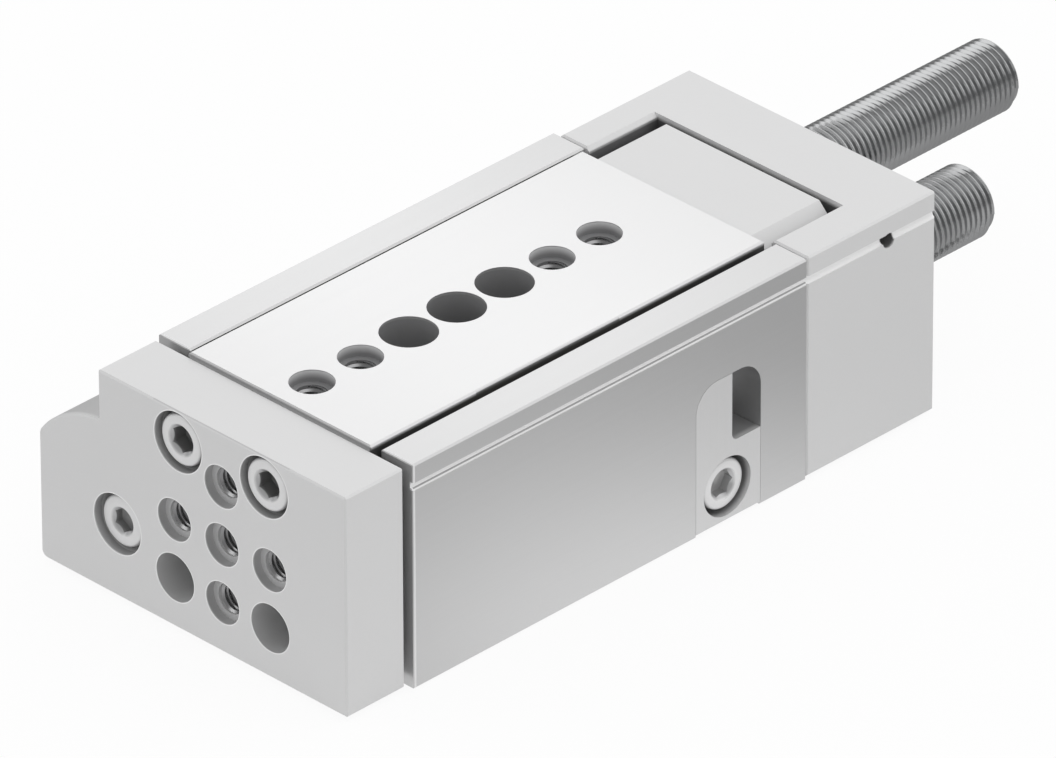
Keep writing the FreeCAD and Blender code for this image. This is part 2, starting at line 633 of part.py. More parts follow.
def guide(side, name):
    """One side of the guide: a hardened rail strip, and a cage with its row of balls."""
    face = f"({side} * channel_half_width)"
    back = f"({side} * (channel_half_width + rail_width))"
    low = "(ball_height - rail_fall)"
    high = "(ball_height + rail_rise)"
    strip = profile("XZ_Plane", "rail_inset", "housing_length - 2 * rail_inset", [
        (face, low),
        (back, low),
        (back, high),
        (face, high),
        (face, f"ball_height + {GROOVE_HALF}"),
        (face, f"ball_height - {GROOVE_HALF}"),
    ], {4: (GROOVE_RADIUS, back, "ball_height")})
    keep(strip, f"guide_rail_{name}")

    row = f"({side} * {BALL_X})"
    cage_end = "(cage_start + cage_length)"
    first = "(cage_start + (cage_length - (ball_count - 1) * ball_pitch) / 2)"
    strip = block((f"{row} - cage_thickness / 2", f"{row} + cage_thickness / 2"),
                  ("cage_start", cage_end),
                  ("ball_height - cage_half_height", "ball_height + cage_half_height"))
    holes = []
    balls = []
    for number in range(round(value("ball_count"))):
        spot = f"{first} + {number} * ball_pitch"
        holes.append(drum("x", GROOVE_RADIUS, f"{row} - cage_thickness", f"{row} + cage_thickness",
                          spot, "ball_height"))
        ball = doc.addObject("Part::Sphere", "Ball")
        bind(ball, Radius="ball_radius")
        place(ball, row, spot, "ball_height")
        balls.append(ball)
    keep(cut(strip, holes), f"ball_cage_{name}")
    keep(gather(balls), f"balls_{name}")


def slide():
    corners = [
        ("keel_half_width", KEEL_BOTTOM),
        ("keel_half_width", SLIDE_BOTTOM),
        (SLIDE_SIDE, SLIDE_BOTTOM),
        (SLIDE_SIDE, f"ball_height - {GROOVE_HALF}"),
        (SLIDE_SIDE, f"ball_height + {GROOVE_HALF}"),
        (SLIDE_SIDE, "slide_top"),
        (f"-{SLIDE_SIDE}", "slide_top"),
        (f"-{SLIDE_SIDE}", f"ball_height + {GROOVE_HALF}"),
        (f"-{SLIDE_SIDE}", f"ball_height - {GROOVE_HALF}"),
        (f"-{SLIDE_SIDE}", SLIDE_BOTTOM),
        ("-keel_half_width", SLIDE_BOTTOM),
        ("-keel_half_width", KEEL_BOTTOM),
    ]
    arcs = {3: (GROOVE_RADIUS, "0", "ball_height"), 7: (GROOVE_RADIUS, "0", "ball_height")}
    body = profile("XZ_Plane", SLIDE_FRONT, SLIDE_LENGTH, corners, arcs)
    break_edges(body, "edge_break", lambda point: near(point.z, "slide_top"))
    above = f"slide_top + {OVERRUN}"
    below = f"{KEEL_BOTTOM} - {OVERRUN}"
    tools = [
        block((f"-keel_half_width - {OVERRUN}", f"keel_half_width + {OVERRUN}"),
              (f"{SLIDE_FRONT} + keel_length", f"{SLIDE_REAR} + {OVERRUN}"),
              (below, SLIDE_BOTTOM)),
        block((f"{RETRACT_X} - lug_half_width", f"{RETRACT_X} + lug_half_width"),
              (f"{LUG_FACE} - lug_length", LUG_FACE), (below, f"{SLIDE_BOTTOM} + lug_key")),
        drum("y", "nut_radius + slide_clearance", f"{NUT_START} - slide_clearance",
             f"{SLIDE_REAR} + {OVERRUN}", ADVANCE_X, "stop_height"),
    ]
    plain_holes = (2, 3, 4)
    for number in range(7):
        spot = f"{SLIDE_FRONT} + first_hole + {number} * hole_pitch"
        if number in plain_holes:
            tools.append(drum("z", "pass_hole_radius", below, above, "0", spot))
        else:
            tools.append(drum("z", "thread_radius", "slide_top - slide_thread_depth", above,
                              "0", spot))
            tools.append(drum("z", "centring_radius", "slide_top - slide_centring_depth", above,
                              "0", spot))
    yoke_screw_tip = f"({YOKE_FRONT} + yoke_screw_sink + screw_head_height + yoke_screw_length)"
    for sign in ("-", ""):
        tools.append(drum("y", "screw_radius", f"{SLIDE_FRONT} - {OVERRUN}",
                          f"{yoke_screw_tip} + thread_spare", f"{sign}yoke_screw_offset",
                          "yoke_screw_height"))
    for number in (-1, 0, 1):
        tools.append(drum("y", "small_screw_radius", f"{BRACKET_SCREW_TIP} - thread_spare",
                          f"{SLIDE_REAR} + {OVERRUN}", f"{number} * bracket_screw_spacing",
                          "bracket_screw_height"))
    tools.append(drum("z", "middle_screw_radius", below, f"{LUG_SCREW_TIP} + edge_break",
                      RETRACT_X, LUG_SCREW_Y))
    keep(cut(body, tools), "slide")


def stop_lug():
    left = f"({RETRACT_X} - lug_half_width)"
    right = f"({RETRACT_X} + lug_half_width)"
    top = f"({SLIDE_BOTTOM} + lug_key)"
    flank = "(stop_height - sqrt(lug_fall^2 - lug_half_width^2))"
    blank = profile("XZ_Plane", f"{LUG_FACE} - lug_length", "lug_length",
                    [(left, flank), (right, flank), (right, top), (left, top)],
                    {0: ("lug_fall", RETRACT_X, "0")})
    foot = f"stop_height - lug_fall - {OVERRUN}"
    tools = [
        drum("z", "middle_screw_radius + screw_play", foot, f"{top} + {OVERRUN}", RETRACT_X,
             LUG_SCREW_Y),
        drum("z", "middle_head_radius + screw_play", foot, f"{LUG_HEAD} + middle_head_height",
             RETRACT_X, LUG_SCREW_Y),
    ]
    keep(cut(blank, tools), "stop_lug")
    screw = socket_screw("+z", ("middle_head_radius", "middle_head_height"),
                         "middle_screw_radius", "lug_screw_length", "middle_hex")
    keep(screw, "lug_screw", RETRACT_X, LUG_SCREW_Y, LUG_HEAD)


def yoke():
    top = "(rail_top - yoke_top_drop)"
    corners, arcs = end_outline("yoke_inset", "yoke_barrel_inset",
                                "(housing_half_width - yoke_inset)", top, "yoke_foot")
    body = profile("XZ_Plane", YOKE_FRONT, "yoke_thickness", corners, arcs)
    break_edges(body, "edge_break", lambda point: near(point.y, YOKE_FRONT)
                or near(point.z, "rail_top - yoke_top_drop") or near(point.y, SLIDE_FRONT))
    ahead = f"{YOKE_FRONT} - {OVERRUN}"
    behind = f"{SLIDE_FRONT} + {OVERRUN}"
    tools = []
    for across, up in ((0, 0), (-1, 0), (1, 0), (0, -1), (0, 1)):
        spot = (f"{across} * hole_pitch", f"yoke_grid_height + {up} * hole_pitch")
        tools.append(drum("y", "thread_radius", ahead, behind, *spot))
        tools.append(drum("y", "centring_radius", ahead, f"{YOKE_FRONT} + centring_depth", *spot))
    for sign in ("-", ""):
        tools.append(drum("y", "yoke_plain_radius", ahead, behind, f"{sign}hole_pitch",
                          "yoke_plain_height"))
    screws = [
        ("-yoke_screw_offset", "yoke_screw_height", "yoke_screw_sink + screw_head_height"),
        ("yoke_screw_offset", "yoke_screw_height", "yoke_screw_sink + screw_head_height"),
        ("-bore_offset", "bore_height", "rod_screw_sink + low_head_height"),
    ]
    for across, up, sink in screws:
        tools.append(drum("y", "screw_radius + screw_play", ahead, behind, across, up))
        tools.append(drum("y", "head_bore_radius", ahead, f"{YOKE_FRONT} + {sink}", across, up))
    keep(cut(body, tools), "yoke_plate")

    pair = screw_set("+y", ("screw_head_radius", "screw_head_height"), "screw_radius",
                     "yoke_screw_length", "screw_hex",
                     [(f"{sign}yoke_screw_offset", f"{YOKE_FRONT} + yoke_screw_sink",
                       "yoke_screw_height") for sign in ("-", "")])
    keep(pair, "yoke_screws")
    screw = socket_screw("+y", ("screw_head_radius", "low_head_height"), "screw_radius",
                         "rod_screw_length", "low_hex")
    keep(screw, "rod_screw", "-bore_offset", f"{YOKE_FRONT} + rod_screw_sink", "bore_height")


def on_bore(body, label):
    """Puts a turned piece on the cylinder's axis."""
    keep(body, label, "-bore_offset", "0", "bore_height")


def tube(inner, outer, start, end):
    return turned([(inner, start), (outer, start), (outer, end), (inner, end)])


def cylinder():
    ring_end = "(ring_start + ring_thickness)"
    seal_end = f"({ring_end} + seal_length)"
    rod_bore = "(rod_radius + running_clearance)"
    ring_outer = "(bore_radius + ring_groove_depth)"
    ring = tube(f"{ring_outer} - ring_width", ring_outer, "ring_start", ring_end)
    opening = block(("-ring_gap / 2", "ring_gap / 2"),
                    (f"ring_start - {OVERRUN}", f"{ring_end} + {OVERRUN}"),
                    (f"-{ring_outer} - {OVERRUN}", "0"))
    on_bore(cut(ring, [opening]), "rod_retaining_ring")
    on_bore(turned([
        (rod_bore, f"{ring_end} + ring_width / 2"),
        (f"{rod_bore} + ring_width / 2", ring_end),
        ("bore_radius", ring_end),
        ("bore_radius", seal_end),
        (rod_bore, seal_end),
    ]), "rod_seal")
    on_bore(tube(rod_bore, "bore_radius", seal_end, f"{seal_end} + bearing_length"),
            "rod_bearing")

    screw_end = f"({YOKE_FRONT} + rod_screw_sink + low_head_height + rod_screw_length)"
    piston_end = f"({PISTON_START} + piston_length)"
    on_bore(turned([
        ("screw_radius", SLIDE_FRONT),
        ("rod_radius - edge_break", SLIDE_FRONT),
        ("rod_radius", f"{SLIDE_FRONT} + edge_break"),
        ("rod_radius", PISTON_START),
        ("rod_spigot_radius", PISTON_START),
        ("rod_spigot_radius", piston_end),
        ("0", piston_end),
        ("0", f"{screw_end} + thread_spare"),
        ("screw_radius", f"{screw_end} + thread_spare"),
    ]), "piston_rod")

    skin = "(bore_radius - piston_clearance)"
    seal_floor = f"({skin} - ring_seal_depth)"
    magnet_floor = f"({skin} - magnet_depth)"
    middle = f"({PISTON_START} + piston_length / 2)"
    grooves = [
        (seal_floor, f"({PISTON_START} + piston_land)", f"({PISTON_START} + piston_land + ring_seal_width)"),
        (magnet_floor, f"({middle} - magnet_width / 2)", f"({middle} + magnet_width / 2)"),
        (seal_floor, f"({piston_end} - piston_land - ring_seal_width)",
         f"({piston_end} - piston_land)"),
    ]
    spigot_bore = "(rod_spigot_radius + running_clearance)"
    corners = [(spigot_bore, PISTON_START), (skin, PISTON_START)]
    for floor, start, end in grooves:
        corners += [(skin, start), (floor, start), (floor, end), (skin, end)]
    corners += [(skin, piston_end), (spigot_bore, piston_end)]
    on_bore(turned(corners), "piston")
    lips = [tube(floor, "bore_radius - running_clearance", start, end)
            for floor, start, end in (grooves[0], grooves[2])]
    on_bore(gather(lips), "piston_seals")
    floor, start, end = grooves[1]
    on_bore(tube(floor, f"{skin} - running_clearance", start, end), "piston_magnet")

    groove_floor = "(bore_radius - ring_seal_depth)"
    groove_start = f"({PLUG_START} + (plug_length - ring_seal_width) / 2)"
    groove_end = f"({groove_start} + ring_seal_width)"
    on_bore(turned([
        ("0", PLUG_START),
        ("bore_radius - edge_break", PLUG_START),
        ("bore_radius", f"{PLUG_START} + edge_break"),
        ("bore_radius", groove_start),
        (groove_floor, groove_start),
        (groove_floor, groove_end),
        ("bore_radius", groove_end),
        ("bore_radius", "housing_length"),
        ("0", "housing_length"),
    ]), "cylinder_end_plug")
    on_bore(tube(groove_floor, "bore_radius", groove_start, groove_end), "end_plug_seal")


def end_cap():
    corners, arcs = end_outline("cap_inset", "cap_inset", "housing_half_width", CAP_TOP,
                                "cap_foot")
    body = profile("XZ_Plane", "housing_length", "cap_length", corners, arcs)
    break_edges(body, "edge_break", lambda point: near(point.y, CAP_REAR)
                or near(point.z, CAP_TOP) or near(point.x, "housing_half_width"))
    ahead = f"housing_length - {OVERRUN}"
    behind = f"{CAP_REAR} + {OVERRUN}"
    wide = f"({RECESS_SIDE} + recess_chamfer + {OVERRUN})"
    high = f"({CAP_TOP} + {OVERRUN})"
    recess = profile("XZ_Plane", ahead, f"cap_length - cap_wall + {OVERRUN}", [
        (f"-{RECESS_SIDE}", "channel_floor"),
        (RECESS_SIDE, "channel_floor"),
        (RECESS_SIDE, f"{CAP_TOP} - recess_chamfer"),
        (wide, high),
        (f"-{wide}", high),
        (f"-{RECESS_SIDE}", f"{CAP_TOP} - recess_chamfer"),
    ])
    tools = [
        recess,
        drum("y", BOSS_CHANNEL, ahead, RECESS_REAR, ADVANCE_X, "stop_height"),
        block((f"{ADVANCE_X} - {BOSS_CHANNEL}", f"{ADVANCE_X} + {BOSS_CHANNEL}"),
              (ahead, RECESS_REAR), ("stop_height", f"channel_floor + {OVERRUN}")),
        drum("y", "stop_radius + stop_hole_clearance", ahead, behind, ADVANCE_X, "stop_height"),
        drum("y", STOP_BORE, ahead, behind, RETRACT_X, "stop_height"),
        drum("y", "side_groove_radius", ahead, behind, "housing_half_width", GROOVE_HEIGHT),
        drum("x", "pin_hole_radius", "housing_half_width - pin_hole_depth",
             f"housing_half_width + {OVERRUN}", "housing_length + pin_hole_start",
             "pin_hole_height"),
    ]
    seat = f"{CAP_REAR} - cap_screw_sink - middle_head_height"
    for across, up in CAP_SCREWS:
        tools.append(drum("y", "middle_screw_radius + screw_play", ahead, behind, across, up))
        tools.append(drum("y", "middle_head_radius + screw_play", seat, behind, across, up))
    keep(cut(body, tools), "end_cap")
    screws = screw_set("-y", ("middle_head_radius", "middle_head_height"),
                       "middle_screw_radius", "cap_screw_length", "middle_hex",
                       [(across, f"{CAP_REAR} - cap_screw_sink", up) for across, up in CAP_SCREWS])
    keep(screws, "cap_screws")


def stop(name, across, tip):
    """A long threaded stop with a rubber buffer in its front end."""
    sleeve_start = "buffer_length"
    seat = "(buffer_length + buffer_seat)"
    sleeve = turned([
        ("buffer_radius", sleeve_start),
        ("stop_radius - stop_chamfer", sleeve_start),
        ("stop_radius", f"{sleeve_start} + stop_chamfer"),
        ("stop_radius", "stop_length - stop_chamfer"),
        ("stop_radius - stop_chamfer", "stop_length"),
        ("0", "stop_length"),
        ("0", seat),
        ("buffer_radius", seat),
    ])
    sleeve = cut(sleeve, [hexagon("stop_hex", f"stop_hex_depth + {OVERRUN}",
                                  "stop_length - stop_hex_depth")])
    buffer = turned([
        ("0", "0"),
        ("buffer_radius - 2 * edge_break", "0"),
        ("buffer_radius", "2 * edge_break"),
        ("buffer_radius", seat),
        ("0", seat),
    ])
    for piece, label in ((sleeve, f"{name}_stop"), (buffer, f"{name}_buffer")):
        keep(piece, label, across, tip, "stop_height")


def stop_bracket():
    top = "(slide_top - bracket_step)"
    shoulder = f"({BRACKET_SIDE} - bracket_chamfer)"
    plate = profile("XZ_Plane", SLIDE_REAR, "bracket_length", [
        (BRACKET_SIDE, SLIDE_BOTTOM),
        (BRACKET_SIDE, f"{top} - bracket_chamfer"),
        (shoulder, top),
        (f"-{shoulder}", top),
        (f"-{BRACKET_SIDE}", f"{top} - bracket_chamfer"),
        (f"-{BRACKET_SIDE}", SLIDE_BOTTOM),
    ])
    boss = drum("y", "boss_radius", SLIDE_REAR, BRACKET_REAR, ADVANCE_X, "stop_height")
    neck = block((f"{ADVANCE_X} - boss_radius", f"{ADVANCE_X} + boss_radius"),
                 (SLIDE_REAR, BRACKET_REAR), ("stop_height", f"{SLIDE_BOTTOM} + {OVERRUN}"))
    ahead = f"{SLIDE_REAR} - {OVERRUN}"
    behind = f"{BRACKET_REAR} + {OVERRUN}"
    tools = [drum("y", STOP_BORE, ahead, behind, ADVANCE_X, "stop_height")]
    sink = "(small_screw_sink + small_head_height)"
    across = [f"{number} * bracket_screw_spacing" for number in (-1, 0, 1)]
    for spot in across:
        tools.append(drum("y", "small_screw_radius + screw_play", ahead, behind, spot,
                          "bracket_screw_height"))
        tools.append(drum("y", "small_head_bore", f"{BRACKET_REAR} - {sink}", behind, spot,
                          "bracket_screw_height"))
    keep(cut(join([plate, boss, neck]), tools), "stop_bracket")
    screws = screw_set("-y", ("small_head_radius", "small_head_height"), "small_screw_radius",
                       "bracket_screw_length", "small_hex",
                       [(spot, f"{BRACKET_REAR} - small_screw_sink", "bracket_screw_height")
                        for spot in across])
    keep(screws, "bracket_screws")

    blank = tube(STOP_BORE, "nut_radius", NUT_START, SLIDE_REAR)
    reach = "(nut_radius - nut_notch_depth)"
    far = f"(nut_radius + {OVERRUN})"
    span = (f"{NUT_START} - {OVERRUN}", f"{SLIDE_REAR} + {OVERRUN}")
    half = ("-nut_notch / 2", "nut_notch / 2")
    notches = [
        block((reach, far), span, half),
        block((f"-{far}", f"-{reach}"), span, half),
        block(half, span, (reach, far)),
        block(half, span, (f"-{far}", f"-{reach}")),
    ]
    keep(cut(blank, notches), "stop_lock_nut", ADVANCE_X, "0", "stop_height")


def anvil():
    body = turned([
        ("0", f"{ANVIL_FACE} - anvil_thickness"),
        ("anvil_radius", f"{ANVIL_FACE} - anvil_thickness"),
        ("anvil_radius", f"{ANVIL_FACE} - edge_break"),
        ("anvil_radius - edge_break", ANVIL_FACE),
        ("0", ANVIL_FACE),
    ])
    keep(body, "stop_anvil", ADVANCE_X, "0", "stop_height")


housing()
clamp()
guide(-1, "left")
guide(1, "right")
anvil()
cylinder()
end_cap()
slide()
yoke()
stop_lug()
stop_bracket()
stop("advance", ADVANCE_X, ADVANCE_TIP)
stop("retract", RETRACT_X, LUG_FACE)

doc.recompute()
for item in doc.Objects:
    if "Invalid" in item.State or "Error" in item.State:
        raise RuntimeError(f"{item.Label} failed: {item.State}")
os.makedirs("parts", exist_ok=True)
for item in finished:
    shape = item.Shape
    if shape.isNull() or not shape.isValid() or not shape.Solids:
        raise RuntimeError(f"{item.Label} has no valid solid")
    shape.exportStep(f"parts/{item.Label}.step")
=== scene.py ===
import math

import bpy
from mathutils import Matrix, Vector


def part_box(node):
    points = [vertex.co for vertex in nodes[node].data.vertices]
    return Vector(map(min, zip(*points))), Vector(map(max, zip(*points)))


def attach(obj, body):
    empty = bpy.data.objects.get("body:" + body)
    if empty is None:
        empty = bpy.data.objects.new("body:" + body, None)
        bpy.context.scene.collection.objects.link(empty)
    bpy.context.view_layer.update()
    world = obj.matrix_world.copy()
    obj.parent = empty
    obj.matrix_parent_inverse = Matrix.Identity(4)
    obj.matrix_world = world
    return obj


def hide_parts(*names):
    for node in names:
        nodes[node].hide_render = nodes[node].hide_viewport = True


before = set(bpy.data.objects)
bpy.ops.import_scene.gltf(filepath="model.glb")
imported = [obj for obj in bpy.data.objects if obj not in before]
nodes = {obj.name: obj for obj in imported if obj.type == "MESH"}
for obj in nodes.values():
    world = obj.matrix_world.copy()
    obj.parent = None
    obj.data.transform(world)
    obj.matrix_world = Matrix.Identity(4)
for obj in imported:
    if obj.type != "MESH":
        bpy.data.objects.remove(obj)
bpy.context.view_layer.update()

bpy.ops.object.select_all(action="DESELECT")

# Housing: one length of drawn aluminium with the guide channel milled into its top and the
# cylinder's barrel on its left. Its outside is satin anodised, and the fine lines of the die
# run along it. Four threads in its underside and two air ports in its left side are tapped.

def satin_metal(name, tone, roughness, metallic, grain, lines=0.05, relief=0.02, cloud=0.2):
    """A satin metal. grain is how fine its lines are along X, Y and Z, per metre, lines is how
    much they differ in tone, relief how deep they are, and cloud how much wider patches add."""
    surface = bpy.data.materials.new(name)
    surface.use_nodes = True
    tree = surface.node_tree
    shader = tree.nodes["Principled BSDF"]
    shader.inputs["Metallic"].default_value = metallic
    place = tree.nodes.new("ShaderNodeTexCoord")
    stretch = tree.nodes.new("ShaderNodeMapping")
    stretch.inputs["Scale"].default_value = grain
    tree.links.new(place.outputs["Object"], stretch.inputs["Vector"])
    scratches = tree.nodes.new("ShaderNodeTexNoise")
    scratches.inputs["Scale"].default_value = 1.0
    scratches.inputs["Detail"].default_value = 5.0
    scratches.inputs["Roughness"].default_value = 0.6
    tree.links.new(stretch.outputs["Vector"], scratches.inputs["Vector"])
    patches = tree.nodes.new("ShaderNodeTexNoise")
    patches.inputs["Scale"].default_value = 60.0
    patches.inputs["Detail"].default_value = 2.0
    tree.links.new(place.outputs["Object"], patches.inputs["Vector"])
    both = tree.nodes.new("ShaderNodeMix")
    both.inputs["Factor"].default_value = cloud
    tree.links.new(scratches.outputs["Fac"], both.inputs["A"])
    tree.links.new(patches.outputs["Fac"], both.inputs["B"])
    colours = tree.nodes.new("ShaderNodeValToRGB")
    ramp = colours.color_ramp
    ramp.elements[0].position = 0.3
    ramp.elements[1].position = 0.7
    for element, side in zip(ramp.elements, (1 - lines, 1 + lines)):
        element.color = (tone[0] * side, tone[1] * side, tone[2] * side, 1)
    tree.links.new(both.outputs["Result"], colours.inputs["Fac"])
    tree.links.new(colours.outputs["Color"], shader.inputs["Base Color"])
    gloss = tree.nodes.new("ShaderNodeMapRange")
    gloss.inputs["From Min"].default_value = 0.3
    gloss.inputs["From Max"].default_value = 0.7
    gloss.inputs["To Min"].default_value = 0.92 * roughness
    gloss.inputs["To Max"].default_value = 1.08 * roughness
    tree.links.new(scratches.outputs["Fac"], gloss.inputs["Value"])
    tree.links.new(gloss.outputs["Result"], shader.inputs["Roughness"])
    bump = tree.nodes.new("ShaderNodeBump")
    bump.inputs["Strength"].default_value = relief
    bump.inputs["Distance"].default_value = 0.0002
    tree.links.new(scratches.outputs["Fac"], bump.inputs["Height"])
    tree.links.new(bump.outputs["Normal"], shader.inputs["Normal"])
    return surface


def local_finish(surface, *limits, tone, roughness, metallic):
    """Carries a finish over to another one at some place of a piece. Each limit is an axis, or
    another value of the material, the place on it where the change starts, and where it ends."""
    tree = surface.node_tree
    shader = tree.nodes["Principled BSDF"]
    outside = shader.inputs["Base Color"].links[0].from_socket
    place = next(node for node in tree.nodes if node.type == "TEX_COORD")
    parts = tree.nodes.new("ShaderNodeSeparateXYZ")
    tree.links.new(place.outputs["Object"], parts.inputs["Vector"])
    inside = None
    for axis, start, end in limits:
        level = tree.nodes.new("ShaderNodeMapRange")
        level.inputs["From Min"].default_value = start
        level.inputs["From Max"].default_value = end
        measure = parts.outputs[axis] if isinstance(axis, str) else axis
        tree.links.new(measure, level.inputs["Value"])
        if inside is not None:
            tree.links.new(inside, level.inputs["To Max"])
        inside = level.outputs["Result"]
    tones = tree.nodes.new("ShaderNodeMix")
    tones.data_type = "RGBA"
    tones.inputs["B"].default_value = (*tone, 1)
    tree.links.new(inside, tones.inputs["Factor"])
    tree.links.new(outside, tones.inputs["A"])
    tree.links.new(tones.outputs["Result"], shader.inputs["Base Color"])
    for name, value in (("Roughness", roughness), ("Metallic", metallic)):
        change = tree.nodes.new("ShaderNodeMix")
        if shader.inputs[name].is_linked:
            tree.links.new(shader.inputs[name].links[0].from_socket, change.inputs["A"])
        else:
            change.inputs["A"].default_value = shader.inputs[name].default_value
        change.inputs["B"].default_value = value
        tree.links.new(inside, change.inputs["Factor"])
        tree.links.new(change.outputs["Result"], shader.inputs[name])


def between(axis, low, high, fade=0.0001):
    """The two limits that keep a change between two places on an axis."""
    return (axis, low, low + fade), (axis, high, high - fade)


def around(reach, **centre):
    """The limits that keep a change this near to a centre, along each axis that is named."""
    limits = ()
    for axis, place in centre.items():
        limits += between(axis, place - reach, place + reach)
    return limits


def finish_nodes(surface, *names):
    """Gives CAD nodes a finish in place of their plain one."""
    for name in names:
        nodes[name].data.materials.clear()
        nodes[name].data.materials.append(surface)


def select_only(*pieces):
    """Selects these and nothing else. The first becomes the active one."""
    bpy.ops.object.select_all(action="DESELECT")
    for piece in pieces:
        piece.select_set(True)
    bpy.context.view_layer.objects.active = pieces[0]


def pick_faces(piece, wanted):
    """Goes into edit mode with only those faces selected for which wanted is true."""
    bpy.ops.object.mode_set(mode="EDIT")
    bpy.ops.mesh.select_mode(type="FACE")
    bpy.ops.mesh.select_all(action="DESELECT")
    bpy.ops.object.mode_set(mode="OBJECT")
    for face in piece.data.polygons:
        face.select = wanted(face)
    bpy.ops.object.mode_set(mode="EDIT")


def pick_edges(piece, wanted):
    """The same for edges. wanted gets the two ends of each."""
    bpy.ops.object.mode_set(mode="EDIT")
    bpy.ops.mesh.select_mode(type="EDGE")
    bpy.ops.mesh.select_all(action="DESELECT")
    bpy.ops.object.mode_set(mode="OBJECT")
    for edge in piece.data.edges:
        ends = [piece.data.vertices[number].co for number in edge.vertices]
        edge.select = wanted(*ends)
    bpy.ops.object.mode_set(mode="EDIT")


def thread_ridge(start, end, pitch, root, crest, steps):
    """A closed ridge that winds along Z, from its wide foot at root to its narrow crest."""
    foot, tip = 0.9 * pitch, 0.14 * pitch
    level = start + pitch / 2
    bpy.ops.object.select_all(action="DESELECT")
    bpy.ops.mesh.primitive_plane_add(size=1, rotation=(math.pi / 2, 0, 0))
    ridge = bpy.context.object
    bpy.ops.object.transform_apply(location=False, rotation=True, scale=True)
    bpy.ops.object.mode_set(mode="EDIT")
    bpy.ops.mesh.delete(type="ONLY_FACE")
    bpy.ops.mesh.select_all(action="SELECT")
    bpy.ops.transform.resize(value=(abs(crest - root), 1, foot))
    bpy.ops.transform.translate(value=((crest + root) / 2, 0, level))
    bpy.ops.mesh.select_mode(type="VERT")
    bpy.ops.mesh.select_all(action="DESELECT")
    bpy.ops.object.mode_set(mode="OBJECT")
    for corner in ridge.data.vertices:
        corner.select = abs(corner.co.x - crest) < abs(corner.co.x - root)
    bpy.ops.object.mode_set(mode="EDIT")
    bpy.ops.transform.resize(value=(1, 1, tip / foot), center_override=(crest, 0, level))
    bpy.ops.object.mode_set(mode="OBJECT")
    turns = ridge.modifiers.new("Turns", "SCREW")
    turns.screw_offset = pitch
    turns.iterations = max(1, int((end - start) / pitch) - 1)
    turns.steps = steps
    turns.render_steps = steps
    bpy.ops.object.modifier_apply(modifier="Turns")
    bpy.ops.object.mode_set(mode="EDIT")
    bpy.ops.mesh.select_all(action="SELECT")
    bpy.ops.mesh.fill_holes(sides=4)
    bpy.ops.mesh.normals_make_consistent(inside=False)
    bpy.ops.object.mode_set(mode="OBJECT")
    bpy.ops.object.shade_smooth_by_angle(angle=math.radians(30))
    return ridge


def join_pieces(pieces, name, surface):
    """Makes one piece of several, with one material, and names it."""
    select_only(*pieces)
    if len(pieces) > 1:
        bpy.ops.object.join()
    whole = bpy.context.object
    whole.name = name
    whole.data.materials.clear()
    whole.data.materials.append(surface)
    return whole


def tap(name, body, surface, turn, spots, start, end):
    """Winds an M5 thread down each hole, which fades in at a small countersink. turn carries
    Z to the way into the hole."""
    pitch, root, crest, countersink = 0.0008, 0.00253, 0.00210, 0.0001
    ridges = []
    for spot in spots:
        ridge = thread_ridge(start - pitch, end, pitch, root, crest, steps=28)
        for point in ridge.data.vertices:
            point.co.z = max(point.co.z, start)
            spread = math.hypot(point.co.x, point.co.y)
            limit = root - max(0, point.co.z - start - countersink)
            if spread < limit:
                point.co.x *= limit / spread
                point.co.y *= limit / spread
        ridge.rotation_euler = turn
        ridge.location = spot
        bpy.ops.object.transform_apply(location=True, rotation=True, scale=True)
        ridges.append(ridge)
    threads = join_pieces(ridges, name, surface)
    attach(threads, body)


drawn_aluminium = satin_metal(
    "drawn_aluminium", tone=(0.715, 0.715, 0.717), roughness=0.30, metallic=0.85,
    grain=(1600, 9, 1600), lines=0.012, relief=0.006)
housing_low, housing_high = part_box("housing")
groove_height, groove_radius = housing_high.z - 0.0038, 0.0007

# The chamfer round the front end is painted bright, as painted highlight, and so is the groove
# along the right side, on a rougher finish, with a line of painted shade low down in it.
groove_depth = (
    ("X", housing_high.x - 0.0008, housing_high.x - 0.0007),
    ("X", housing_high.x - 0.00002, housing_high.x - 0.00008))
groove_highlight = groove_depth + between(
    "Z", groove_height - groove_radius, groove_height + groove_radius, fade=0.00005)
groove_shade_line = groove_depth + between(
    "Z", groove_height - 0.00060, groove_height - 0.00036, fade=0.00006)
front_chamfer_highlight = between("Y", housing_low.y + 0.00010, housing_low.y + 0.00034, fade=0.00004)
local_finish(drawn_aluminium, *groove_highlight,
             tone=(0.92, 0.92, 0.92), roughness=0.5, metallic=0.1)
local_finish(drawn_aluminium, *groove_shade_line,
             tone=(0.36, 0.36, 0.362), roughness=0.4, metallic=0.3)
local_finish(drawn_aluminium, *front_chamfer_highlight,
             tone=(0.95, 0.95, 0.952), roughness=0.35, metallic=0.2)
finish_nodes(drawn_aluminium, "housing")

tapped_aluminium = satin_metal(
    "tapped_aluminium", tone=(0.50, 0.50, 0.505), roughness=0.29, metallic=1.0,
    grain=(900, 900, 900), lines=0.04, relief=0.0)
into_top, into_side, into_front = (0, 0, 0), (0, math.pi / 2, 0), (-math.pi / 2, 0, 0)
base_half_width, base_half_length = 0.010, 0.015
base_holes = [(x, y, 0) for x in (-base_half_width, base_half_width)
              for y in (-base_half_length, base_half_length)]
tap("base_threads", "housing_unit", tapped_aluminium, into_top, base_holes,
    start=0.0017, end=0.0079)
port_height, front_port, rear_port = 0.0132, housing_low.y + 0.020, housing_high.y - 0.0076
port_holes = [(housing_low.x, y, port_height) for y in (front_port, rear_port)]
tap("port_threads", "housing_unit", tapped_aluminium, into_side, port_holes,
    start=0.0002, end=0.0059)

